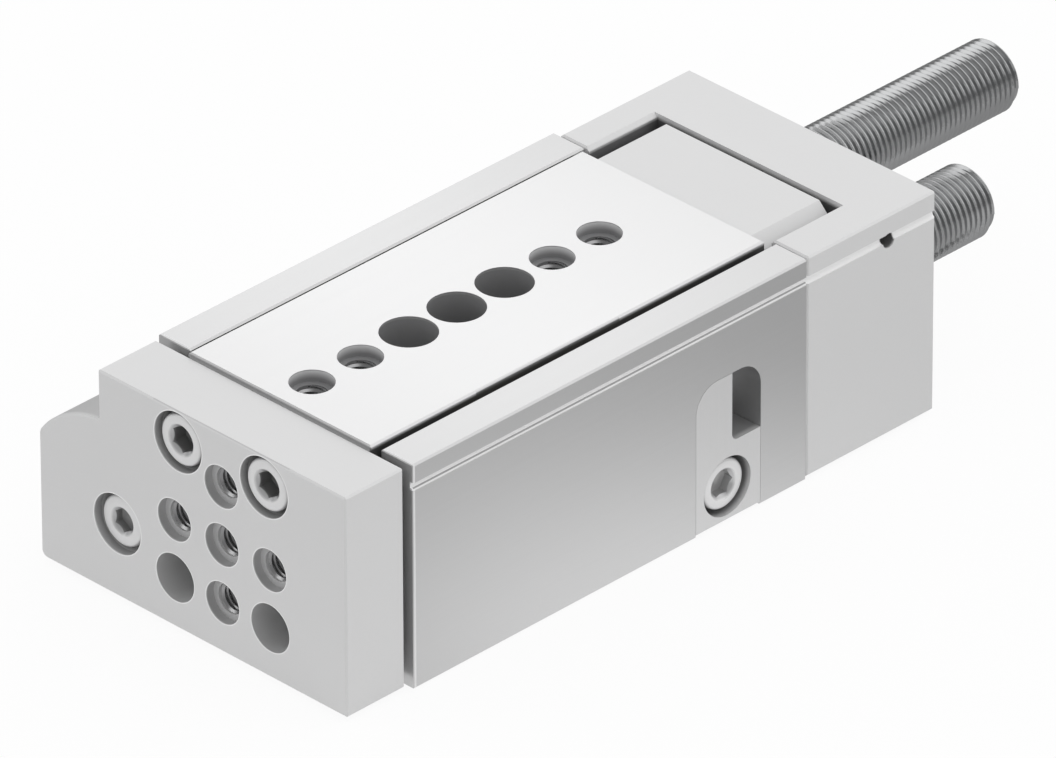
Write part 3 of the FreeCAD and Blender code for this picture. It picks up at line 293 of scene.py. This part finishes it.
# Guide: hardened steel strips are pressed into both sides of the channel and the slide runs
# on two rows of polished balls, kept apart by thin bronze cages.
hardened_steel = satin_metal(
    "hardened_steel", tone=(0.45, 0.455, 0.46), roughness=0.3, metallic=1.0,
    grain=(4000, 40, 4000), relief=0.03)
finish_nodes(hardened_steel, "guide_rail_left", "guide_rail_right")
polished_steel = satin_metal(
    "polished_steel", tone=(0.75, 0.76, 0.77), roughness=0.12, metallic=1.0,
    grain=(800, 800, 800), lines=0.02, relief=0.0)
finish_nodes(polished_steel, "balls_left", "balls_right")
cage_bronze = satin_metal(
    "cage_bronze", tone=(0.24, 0.18, 0.11), roughness=0.4, metallic=1.0,
    grain=(1500, 1500, 1500), lines=0.08, relief=0.03)
finish_nodes(cage_bronze, "ball_cage_left", "ball_cage_right")

# Cylinder: a chromed rod with an aluminium piston, rubber seals and a magnet ring for the
# sensors. A bronze bearing held by a ring closes the front of the bore, a plug its rear.
finish_nodes(polished_steel, "piston_rod")
finish_nodes(cage_bronze, "rod_bearing")
finish_nodes(hardened_steel, "rod_retaining_ring")
turned_aluminium = satin_metal(
    "turned_aluminium", tone=(0.62, 0.63, 0.64), roughness=0.3, metallic=0.9,
    grain=(600, 5000, 600), relief=0.04)
finish_nodes(turned_aluminium, "piston", "cylinder_end_plug")
black_rubber = satin_metal(
    "black_rubber", tone=(0.025, 0.025, 0.026), roughness=0.6, metallic=0.0,
    grain=(900, 900, 900), lines=0.15, relief=0.1)
finish_nodes(black_rubber, "rod_seal", "piston_seals", "end_plug_seal")
bonded_magnet = satin_metal(
    "bonded_magnet", tone=(0.05, 0.05, 0.055), roughness=0.5, metallic=0.2,
    grain=(1500, 1500, 1500), lines=0.15, relief=0.1)
finish_nodes(bonded_magnet, "piston_magnet")

# Slide: a flat bar of hardened steel. Its top is ground and the brightest face of the unit,
# with the wheel's very fine lines along it. All below its top, the walls of its holes too, is
# painted dark grey, as painted shade, and four of the holes are tapped.
ground_steel = satin_metal(
    "ground_steel", tone=(0.82, 0.82, 0.822), roughness=0.31, metallic=0.8,
    grain=(1900, 8, 1900), lines=0.006, relief=0.004)
slide_low, slide_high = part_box("slide")
slide_top = slide_high.z
local_finish(ground_steel, ("Z", slide_top - 0.0001, slide_top - 0.0005),
             tone=(0.34, 0.34, 0.345), roughness=0.32, metallic=0.3)

# The tapped holes stand in pairs at both ends, and the upper part of their walls is painted
# bright, as painted light falling in from above.
first_hole, hole_pitch, past_hole = slide_low.y + 0.0068, 0.010, 0.0051
tapped_holes = [first_hole + hole_pitch * number for number in (0, 1, 5, 6)]
for edge, outward in ((tapped_holes[1] + past_hole, -1), (tapped_holes[2] - past_hole, 1)):
    local_finish(ground_steel, ("Y", edge, edge + outward * 0.0001),
                 ("Z", slide_top - 0.0001, slide_top - 0.0002),
                 ("Z", slide_top - 0.0015, slide_top - 0.0002),
                 tone=(0.85, 0.85, 0.855), roughness=0.35, metallic=0.1)

# The front edge and both sides are painted darker than the top, as painted shade of the gaps
# to the yoke and to the rails.
slide_front = ("Y", slide_low.y + 0.0003, slide_low.y + 0.0001)
lower_half = ("Z", slide_top - 0.0004, slide_top - 0.0009)
local_finish(ground_steel, slide_front, ("Z", slide_top - 0.0001, slide_top - 0.0003),
             tone=(0.35, 0.35, 0.352), roughness=0.32, metallic=0.8)
local_finish(ground_steel, slide_front, lower_half,
             tone=(0.66, 0.66, 0.662), roughness=0.35, metallic=0.5)
for side, inward in ((slide_low.x, 1), (slide_high.x, -1)):
    local_finish(ground_steel, ("X", side + inward * 0.0003, side + inward * 0.0001), lower_half,
                 tone=(0.22, 0.22, 0.222), roughness=0.32, metallic=0.8)
finish_nodes(ground_steel, "slide")

tapped_steel = satin_metal(
    "tapped_steel", tone=(0.42, 0.42, 0.425), roughness=0.18, metallic=1.0,
    grain=(900, 900, 900), lines=0.04, relief=0.0)
slide_holes = [(0, y, slide_top) for y in tapped_holes]
tap("slide_threads", "carriage", tapped_steel, (math.pi, 0, 0), slide_holes,
    start=0.0021, end=0.0074)

# Yoke plate: milled aluminium, blasted and then satin anodised, so that it has no lines but a
# fine even grain. Two M5 screws hold it to the slide's front end and one to the piston rod.

def cut_openings(piece, cutters):
    """Cuts each cutter's shape out of a piece, and removes the cutter."""
    select_only(piece)
    for cutter in cutters:
        opening = piece.modifiers.new("Opening", "BOOLEAN")
        opening.operation = "DIFFERENCE"
        opening.object = cutter
        bpy.ops.object.modifier_apply(modifier="Opening")
        bpy.data.objects.remove(cutter)


def socket_screw(name, node, body, surface, spots, turn, head, shank, socket, pitch):
    """A cylinder head screw at each spot. Its head's top is at the spot and turn carries Z to
    the way that the head faces. head and shank are radius and length, socket is width across
    its flats and depth. The head's rim is rounded, and a cone leads into the socket."""
    head_radius, head_height = head
    shank_radius, shank_length = shank
    rounding = 0.13 * head_radius
    thread_depth = 0.6 * pitch
    core = shank_radius - thread_depth
    tip_share, point_share, foot_sunk = 0.8, 0.25, 0.00003
    bpy.ops.object.select_all(action="DESELECT")
    bpy.ops.mesh.primitive_cylinder_add(
        vertices=64, radius=head_radius, depth=head_height, location=(0, 0, -head_height / 2))
    screw = bpy.context.object
    bpy.ops.object.transform_apply(location=True, rotation=True, scale=True)
    pick_edges(screw, lambda start, end: min(start.z, end.z) > -head_height / 2)
    bpy.ops.mesh.bevel(offset=rounding, segments=4)
    bpy.ops.object.mode_set(mode="OBJECT")
    pick_faces(screw, lambda face: face.normal.z < -0.9)
    bpy.ops.mesh.inset(thickness=head_radius - core)
    bpy.ops.mesh.extrude_region_move(
        TRANSFORM_OT_translate={"value": (0, 0, thread_depth - shank_length)})
    bpy.ops.mesh.extrude_region_move(TRANSFORM_OT_translate={"value": (0, 0, -thread_depth)})
    bpy.ops.transform.resize(value=(tip_share, tip_share, 1))
    bpy.ops.object.mode_set(mode="OBJECT")

    corner = socket[0] / 2 / math.cos(math.pi / 6)
    cone_foot, cone_mouth, cone_height = 0.84 * corner, 1.48 * corner, 0.64 * corner
    bpy.ops.object.select_all(action="DESELECT")
    bpy.ops.mesh.primitive_cylinder_add(vertices=6, radius=corner, depth=2 * socket[1])
    key = bpy.context.object
    pick_faces(key, lambda face: face.normal.z < -0.9)
    bpy.ops.mesh.extrude_region_move(
        TRANSFORM_OT_translate={"value": (0, 0, -point_share * corner)})
    bpy.ops.transform.resize(value=(point_share, point_share, 1))
    bpy.ops.object.mode_set(mode="OBJECT")
    bpy.ops.object.select_all(action="DESELECT")
    bpy.ops.mesh.primitive_cone_add(
        vertices=64, radius1=cone_foot, radius2=cone_mouth, depth=cone_height)
    cone = bpy.context.object
    cut_openings(screw, (key, cone))
    bpy.ops.object.shade_smooth_by_angle(angle=math.radians(28))

    ridge = thread_ridge(-head_height - shank_length + pitch, -head_height - pitch / 2, pitch,
                         core - foot_sunk, shank_radius, steps=20)
    first = join_pieces([ridge, screw], name, surface)
    copies = []
    for spot in spots:
        select_only(first)
        bpy.ops.object.duplicate(linked=False)
        copy = bpy.context.object
        copy.rotation_euler = turn
        copy.location = spot
        bpy.ops.object.transform_apply(location=True, rotation=True, scale=True)
        copies.append(copy)
    bpy.data.objects.remove(first)
    screws = join_pieces(copies, name, surface)
    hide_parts(node)
    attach(screws, body)


def screw_finish_and_shade(name, axis, top, way, deep=0.38):
    """The plated finish, with painted shade that darkens it from the top of the heads down to the
    tone deep. top is that top's place on the axis, and way is 1 where the axis runs into the
    head, or -1."""
    surface = plated_steel.copy()
    surface.name = name
    local_finish(surface, (axis, top + way * 0.00003, top + way * 0.0003),
                 tone=(0.64, 0.64, 0.645), roughness=0.30, metallic=0.6)
    local_finish(surface, (axis, top + way * 0.0005, top + way * 0.0011),
                 tone=(deep, deep, deep), roughness=0.30, metallic=0.8)
    return surface


def rim_distance(surface, rims):
    """How far a point of an upright face is from the nearest hole's rim. A rim is X, Z, radius."""
    tree = surface.node_tree
    place = next(node for node in tree.nodes if node.type == "TEX_COORD")
    flat = tree.nodes.new("ShaderNodeVectorMath")
    flat.operation = "MULTIPLY"
    flat.inputs[1].default_value = (1, 0, 1)
    tree.links.new(place.outputs["Object"], flat.inputs[0])
    nearest = None
    for x, z, radius in rims:
        reach = tree.nodes.new("ShaderNodeVectorMath")
        reach.operation = "DISTANCE"
        reach.inputs[1].default_value = (x, 0, z)
        tree.links.new(flat.outputs["Vector"], reach.inputs[0])
        gap = tree.nodes.new("ShaderNodeMath")
        gap.operation = "SUBTRACT"
        gap.inputs[1].default_value = radius
        tree.links.new(reach.outputs["Value"], gap.inputs[0])
        if nearest is not None:
            least = tree.nodes.new("ShaderNodeMath")
            least.operation = "MINIMUM"
            tree.links.new(gap.outputs["Value"], least.inputs[0])
            tree.links.new(nearest, least.inputs[1])
            gap = least
        nearest = gap.outputs["Value"]
    return nearest


plated_steel = satin_metal(
    "plated_steel", tone=(0.87, 0.87, 0.872), roughness=0.30, metallic=0.3,
    grain=(900, 900, 900), lines=0.012, relief=0.0)
blasted_aluminium = satin_metal(
    "blasted_aluminium", tone=(0.762, 0.762, 0.764), roughness=0.48, metallic=0.25,
    grain=(2600, 2600, 2600), lines=0.012, relief=0.03, cloud=0.3)
yoke_low, yoke_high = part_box("yoke_plate")
grid_height, grid_pitch = 0.0192, 0.010
thread_bore, plain_bore, head_bore = 0.0035, 0.004, 0.005
yoke_holes = [(x, yoke_low.y, grid_height + rise) for x, rise in (
    (0, 0), (-grid_pitch, 0), (grid_pitch, 0), (0, -grid_pitch), (0, grid_pitch))]
plain_holes = [(x, yoke_low.y, grid_height - grid_pitch) for x in (-grid_pitch, grid_pitch)]
screw_offset, screw_height, yoke_head_top = 0.009, 0.033, yoke_low.y + 0.0006
yoke_screw_spots = [(x, yoke_head_top, screw_height) for x in (-screw_offset, screw_offset)]
rod_offset, rod_head_top = -0.0222, yoke_low.y + 0.001
rod_screw_spot = (rod_offset, rod_head_top, port_height)

# The walls of the sunk bores are painted darker, down to their shoulders, as painted shade.
yoke_aluminium = blasted_aluminium.copy()
yoke_aluminium.name = "yoke_aluminium"
yoke_front = ("Y", yoke_low.y + 0.0001, yoke_low.y + 0.0003)
yoke_rear = ("Y", yoke_high.y - 0.0001, yoke_high.y - 0.0003)
shoulder_depth, margin = 0.0016, 0.0003
shoulder = ("Y", yoke_low.y + shoulder_depth + 0.00005, yoke_low.y + shoulder_depth - 0.00005)
grid_side = screw_offset + head_bore + margin
grid_bottom = grid_height - grid_pitch - plain_bore - margin
grid_top = screw_height + head_bore + margin
grid_window = between("X", -grid_side, grid_side) + between("Z", grid_bottom, grid_top)
rod_window = around(head_bore + margin, X=rod_offset, Z=port_height)
for window in (grid_window, rod_window):
    local_finish(yoke_aluminium, yoke_front, shoulder, *window,
                 tone=(0.50, 0.50, 0.502), roughness=0.4, metallic=0.4)

# The plain holes go right through. The round lobe over the rod is painted darker towards its
# top, as painted shade.
for x, y, z in plain_holes:
    local_finish(yoke_aluminium, yoke_front, yoke_rear, *around(plain_bore + 0.0002, X=x, Z=z),
                 tone=(0.76, 0.76, 0.762), roughness=0.30, metallic=0.5)
lobe_side, lobe_shoulder, lobe_top = -0.0260, 0.0190, 0.0215
local_finish(yoke_aluminium, ("Y", yoke_low.y + 0.0001, yoke_low.y + 0.0010), yoke_rear,
             ("X", lobe_side, lobe_side - 0.0002), ("Z", lobe_shoulder, lobe_top),
             tone=(0.56, 0.56, 0.562), roughness=0.48, metallic=0.25)

# The edge of each hole is broken by a fine cut, and a thin ring on it is painted bright, as
# painted highlight.
rims = [(x, z, thread_bore) for x, y, z in yoke_holes]
rims += [(x, z, plain_bore) for x, y, z in plain_holes]
rims += [(x, z, head_bore) for x, y, z in yoke_screw_spots + [rod_screw_spot]]
local_finish(yoke_aluminium, (rim_distance(yoke_aluminium, rims), 0.00018, 0.00010),
             ("Y", yoke_low.y + 0.00008, yoke_low.y + 0.00004),
             tone=(0.95, 0.95, 0.95), roughness=0.3, metallic=0.1)
finish_nodes(yoke_aluminium, "yoke_plate")

tap("yoke_threads", "carriage", tapped_aluminium, into_front, yoke_holes,
    start=0.0017, end=0.0119)
out_of_front = (math.pi / 2, 0, 0)
socket_screw("yoke_socket_screws", "yoke_screws", "carriage",
             screw_finish_and_shade("yoke_screw_steel", "Y", yoke_head_top, 1),
             yoke_screw_spots, out_of_front,
             head=(0.00425, 0.005), shank=(0.0025, 0.016), socket=(0.004, 0.003), pitch=0.0008)
socket_screw("rod_socket_screw", "rod_screw", "carriage",
             screw_finish_and_shade("rod_screw_steel", "Y", rod_head_top, 1, deep=0.45),
             [rod_screw_spot], out_of_front,
             head=(0.00425, 0.003), shank=(0.0025, 0.014), socket=(0.0036, 0.0018), pitch=0.0008)

# End cap: milled from the same aluminium and blasted like the yoke. Four long screws hold it
# to the housing. A hardened disc in the housing's end takes the blows of the advance stop.
cap_low, cap_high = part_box("end_cap")
bracket_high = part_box("stop_bracket")[1]
recess_side, recess_rear, fade = bracket_high.x + 0.0006, bracket_high.y + 0.0015, 0.0002

# The recess that the stop bracket stands in at rest is painted dark, as painted shade, and so
# is the small pin hole in the right side. The groove goes on from the housing's, painted bright
# as painted highlight.
cap_aluminium = blasted_aluminium.copy()
cap_aluminium.name = "cap_aluminium"
local_finish(cap_aluminium, *between("X", -recess_side - fade, recess_side + fade, fade),
             ("Y", recess_rear + fade, recess_rear),
             ("Z", cap_high.z - 0.0005, cap_high.z - 0.0012),
             tone=(0.12, 0.12, 0.122), roughness=0.48, metallic=0.25)
local_finish(cap_aluminium, *groove_highlight, tone=(0.92, 0.92, 0.92), roughness=0.5, metallic=0.1)
pin_place, pin_height, pin_reach = cap_low.y + 0.0174, 0.0343, 0.0014
pin_end = cap_high.x - 0.0045
local_finish(cap_aluminium, ("X", cap_high.x - 0.0001, cap_high.x - 0.0005),
             ("X", pin_end - 0.0001, pin_end + 0.0001),
             *around(pin_reach, Y=pin_place, Z=pin_height),
             tone=(0.40, 0.40, 0.402), roughness=0.3, metallic=0.7)
finish_nodes(cap_aluminium, "end_cap")
finish_nodes(hardened_steel, "stop_anvil")

out_of_rear = (-math.pi / 2, 0, 0)
cap_head_top = cap_high.y - 0.005
cap_screw_spots = [(x, cap_head_top, z) for x, z in (
    (0.022, 0.009), (-0.008, 0.006), (-0.0315, 0.006), (-0.0215, 0.0245))]
socket_screw("cap_socket_screws", "cap_screws", "housing_unit",
             screw_finish_and_shade("cap_screw_steel", "Y", cap_head_top, -1),
             cap_screw_spots, out_of_rear,
             head=(0.0035, 0.004), shank=(0.002, 0.025), socket=(0.003, 0.002), pitch=0.0007)

# Stop bracket: an aluminium angle behind the slide that carries the advance stop. Three small
# screws hold it to the slide's end, and a round nut locks the stop. The steel lug for the
# retract stop is keyed into the slide's underside and held by one screw.
finish_nodes(blasted_aluminium, "stop_bracket")
finish_nodes(hardened_steel, "stop_lock_nut", "stop_lug")
finish_nodes(plated_steel, "bracket_screws", "lug_screw")

# Stops: two long bars with a fine thread cut over their whole length, chamfered at both ends,
# with a hexagon socket for adjusting behind and a rubber buffer let into the front.

def threaded_stop(name, body, surface):
    """Turns a bar, opens its socket and its buffer's seat, and winds the thread round it."""
    low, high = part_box(name)
    radius, core, pitch, chamfer, foot_sunk = 0.006, 0.00541, 0.0011, 0.0007, 0.00003
    length = high.y - low.y
    half = length / 2
    socket_radius, socket_depth = 0.0025 / math.cos(math.pi / 6), 0.005
    seat_radius, seat_depth = 0.003, 0.004
    bpy.ops.object.select_all(action="DESELECT")
    bpy.ops.mesh.primitive_cylinder_add(vertices=72, radius=core, depth=length)
    bar = bpy.context.object
    pick_edges(bar, lambda start, end: abs(start.z - end.z) < half)
    bpy.ops.mesh.bevel(offset=0.00025, segments=2)
    bpy.ops.object.mode_set(mode="OBJECT")
    cutters = []
    for sides, wide, deep, end in ((6, socket_radius, socket_depth, half),
                                   (48, seat_radius, seat_depth, -half)):
        bpy.ops.object.select_all(action="DESELECT")
        bpy.ops.mesh.primitive_cylinder_add(
            vertices=sides, radius=wide, depth=2 * deep, location=(0, 0, end))
        bpy.ops.object.transform_apply(location=True, rotation=True, scale=True)
        cutters.append(bpy.context.object)
    cut_openings(bar, cutters)
    bpy.ops.object.shade_smooth_by_angle(angle=math.radians(25))

    pitch = length / round(length / pitch)
    ridge = thread_ridge(-half, half + pitch / 2, pitch, core - foot_sunk, radius, steps=48)
    for point in ridge.data.vertices:
        spread = math.hypot(point.co.x, point.co.y)
        limit = radius - max(0, chamfer - (half - abs(point.co.z)))
        if spread > limit:
            point.co.x *= limit / spread
            point.co.y *= limit / spread
    stop = join_pieces([bar, ridge], name + "_threaded", surface)
    stop.rotation_euler = (-math.pi / 2, 0, 0)
    stop.location = ((low.x + high.x) / 2, (low.y + high.y) / 2, (low.z + high.z) / 2)
    bpy.ops.object.transform_apply(location=True, rotation=True, scale=True)
    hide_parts(name)
    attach(stop, body)


stop_steel = satin_metal(
    "stop_steel", tone=(0.51, 0.515, 0.52), roughness=0.17, metallic=1.0,
    grain=(400, 2500, 400), lines=0.03, relief=0.0)
threaded_stop("advance_stop", "advance_stop_unit", stop_steel)
threaded_stop("retract_stop", "retract_stop_unit", stop_steel)
finish_nodes(black_rubber, "advance_buffer", "retract_buffer")

# Clamp block: a steel block let flush into the side pocket. Its screw pulls it against the
# retract stop, which can be seen through the notch beside its finger.
clamp_steel = satin_metal(
    "clamp_steel", tone=(0.765, 0.765, 0.767), roughness=0.38, metallic=0.5,
    grain=(3200, 3200, 40), lines=0.014, relief=0.01)
# Below its outer face the block is painted darker, as painted shade in the pocket and notch.
local_finish(clamp_steel, ("X", housing_high.x - 0.0004, housing_high.x - 0.0012),
             tone=(0.42, 0.42, 0.425), roughness=0.38, metallic=0.5)
finish_nodes(clamp_steel, "clamp_block")
clamp_spot = (housing_high.x - 0.0008, housing_high.y - 0.017, 0.0063)
out_of_side = (0, math.pi / 2, 0)
socket_screw("clamp_socket_screw", "clamp_screw", "housing_unit",
             screw_finish_and_shade("clamp_screw_steel", "X", clamp_spot[0], -1, deep=0.62),
             [clamp_spot], out_of_side,
             head=(0.00425, 0.0035), shank=(0.0025, 0.014), socket=(0.004, 0.002), pitch=0.0008)

# Floor: a wide pale sheet under the unit, which keeps its soft shadow. Seen in the metal, it
# glows brighter under the unit, a painted pool of light, which shows in the satin sides.

def larger(tree, first, second):
    """The larger one of two values of a material or of the world."""
    node = tree.nodes.new("ShaderNodeMath")
    node.operation = "MAXIMUM"
    tree.links.new(first, node.inputs[0])
    tree.links.new(second, node.inputs[1])
    return node.outputs["Value"]


bpy.ops.object.select_all(action="DESELECT")
bpy.ops.mesh.primitive_plane_add(size=12, location=(0, 0, -0.0003))
floor = bpy.context.object
floor.name = "floor"
pale_floor = bpy.data.materials.new("pale_floor")
pale_floor.use_nodes = True
tree = pale_floor.node_tree
matt = tree.nodes["Principled BSDF"]
matt.inputs["Base Color"].default_value = (0.94, 0.94, 0.94, 1)
matt.inputs["Roughness"].default_value = 0.9
seen = tree.nodes.new("ShaderNodeLightPath")
ground = tree.nodes.new("ShaderNodeTexCoord")
reach = tree.nodes.new("ShaderNodeVectorMath")
reach.operation = "LENGTH"
tree.links.new(ground.outputs["Object"], reach.inputs[0])
pool = tree.nodes.new("ShaderNodeMapRange")
pool.interpolation_type = "SMOOTHSTEP"
pool.inputs["From Min"].default_value = 0.020
pool.inputs["From Max"].default_value = 0.101
pool.inputs["To Min"].default_value = 0.88
pool.inputs["To Max"].default_value = 0.37
tree.links.new(reach.outputs["Value"], pool.inputs["Value"])
level = larger(tree, pool.outputs["Result"], seen.outputs["Is Camera Ray"])
glow = tree.nodes.new("ShaderNodeEmission")
glow.inputs["Color"].default_value = (1, 1, 1, 1)
tree.links.new(level, glow.inputs["Strength"])
direct = larger(tree, seen.outputs["Is Camera Ray"], seen.outputs["Is Glossy Ray"])
share = tree.nodes.new("ShaderNodeMath")
share.operation = "MULTIPLY"
share.inputs[1].default_value = 0.92
tree.links.new(direct, share.inputs[0])
blend = tree.nodes.new("ShaderNodeMixShader")
tree.links.new(share.outputs["Value"], blend.inputs["Fac"])
tree.links.new(matt.outputs["BSDF"], blend.inputs[1])
tree.links.new(glow.outputs["Emission"], blend.inputs[2])
tree.links.new(blend.outputs["Shader"], tree.nodes["Material Output"].inputs["Surface"])
floor.data.materials.append(pale_floor)

# Light: a pale room that shows bright in the metal above and behind the unit, a large soft box
# above it, a weaker one from the front left, and a narrow strip close to the slide.
world = bpy.data.worlds.new("pale_room")
bpy.context.scene.world = world
world.use_nodes = True
tree = world.node_tree
sky = tree.nodes["Background"]
sky.inputs["Color"].default_value = (1, 1, 1, 1)
way = tree.nodes.new("ShaderNodeTexCoord")
wall = tree.nodes.new("ShaderNodeVectorMath")
wall.operation = "DOT_PRODUCT"
wall.inputs[1].default_value = (-0.05, 0.74, 0.67)
tree.links.new(way.outputs["Generated"], wall.inputs[0])
mirrored = tree.nodes.new("ShaderNodeMapRange")
mirrored.interpolation_type = "SMOOTHSTEP"
mirrored.inputs["From Min"].default_value = 0.50
mirrored.inputs["From Max"].default_value = 0.80
mirrored.inputs["To Min"].default_value = 0.26
mirrored.inputs["To Max"].default_value = 1.0
tree.links.new(wall.outputs["Value"], mirrored.inputs["Value"])
seen = tree.nodes.new("ShaderNodeLightPath")
strength = tree.nodes.new("ShaderNodeMapRange")
strength.inputs["To Min"].default_value = 0.78
tree.links.new(seen.outputs["Is Glossy Ray"], strength.inputs["Value"])
tree.links.new(mirrored.outputs["Result"], strength.inputs["To Max"])
clear = larger(tree, seen.outputs["Is Camera Ray"], seen.outputs["Is Transmission Ray"])
shown = larger(tree, strength.outputs["Result"], clear)
tree.links.new(shown, sky.inputs["Strength"])


def soft_box(name, place, target, size, power, mirrored, roll=0):
    """A lamp that faces a target. Only a mirrored one shows in the metal."""
    bpy.ops.object.light_add(type="AREA", location=place)
    lamp = bpy.context.object
    lamp.name = name
    lamp.data.shape = "RECTANGLE"
    lamp.data.size, lamp.data.size_y = size
    lamp.data.energy = power
    lamp.visible_camera = False
    lamp.visible_glossy = mirrored
    lamp.rotation_euler = (lamp.location - Vector(target)).to_track_quat("Z", "Y").to_euler()
    lamp.rotation_euler.rotate_axis("Z", math.radians(roll))


soft_box("top_box", place=(0.45, 0.35, 1.3), target=(0, 0, 0), size=(1.2, 1.2), power=3.9,
         mirrored=False)
soft_box("front_box", place=(-1.08, -1.13, 0.64), target=(0, 0, 0), size=(1.0, 0.55), power=1.85,
         mirrored=True)
soft_box("strip", place=(-0.164, 0.126, 0.153), target=(-0.033, -0.005, 0.039),
         size=(0.17, 0.035), power=0.0090, mirrored=True, roll=-28)

# Camera: a long lens at the photograph's height and side, found from its straight edges.
lens = bpy.data.cameras.new("camera")
camera = bpy.data.objects.new("camera", lens)
bpy.context.scene.collection.objects.link(camera)
camera.location = (1.53599, -1.52939, 1.33438)
camera.rotation_euler = (math.radians(58.84704), math.radians(0.1625), math.radians(44.8563))
lens.sensor_width = 36
lens.lens = 581.88
lens.clip_start = 0.1
lens.clip_end = 20
bpy.context.scene.camera = camera

bpy.context.scene.view_settings.view_transform = "Standard"
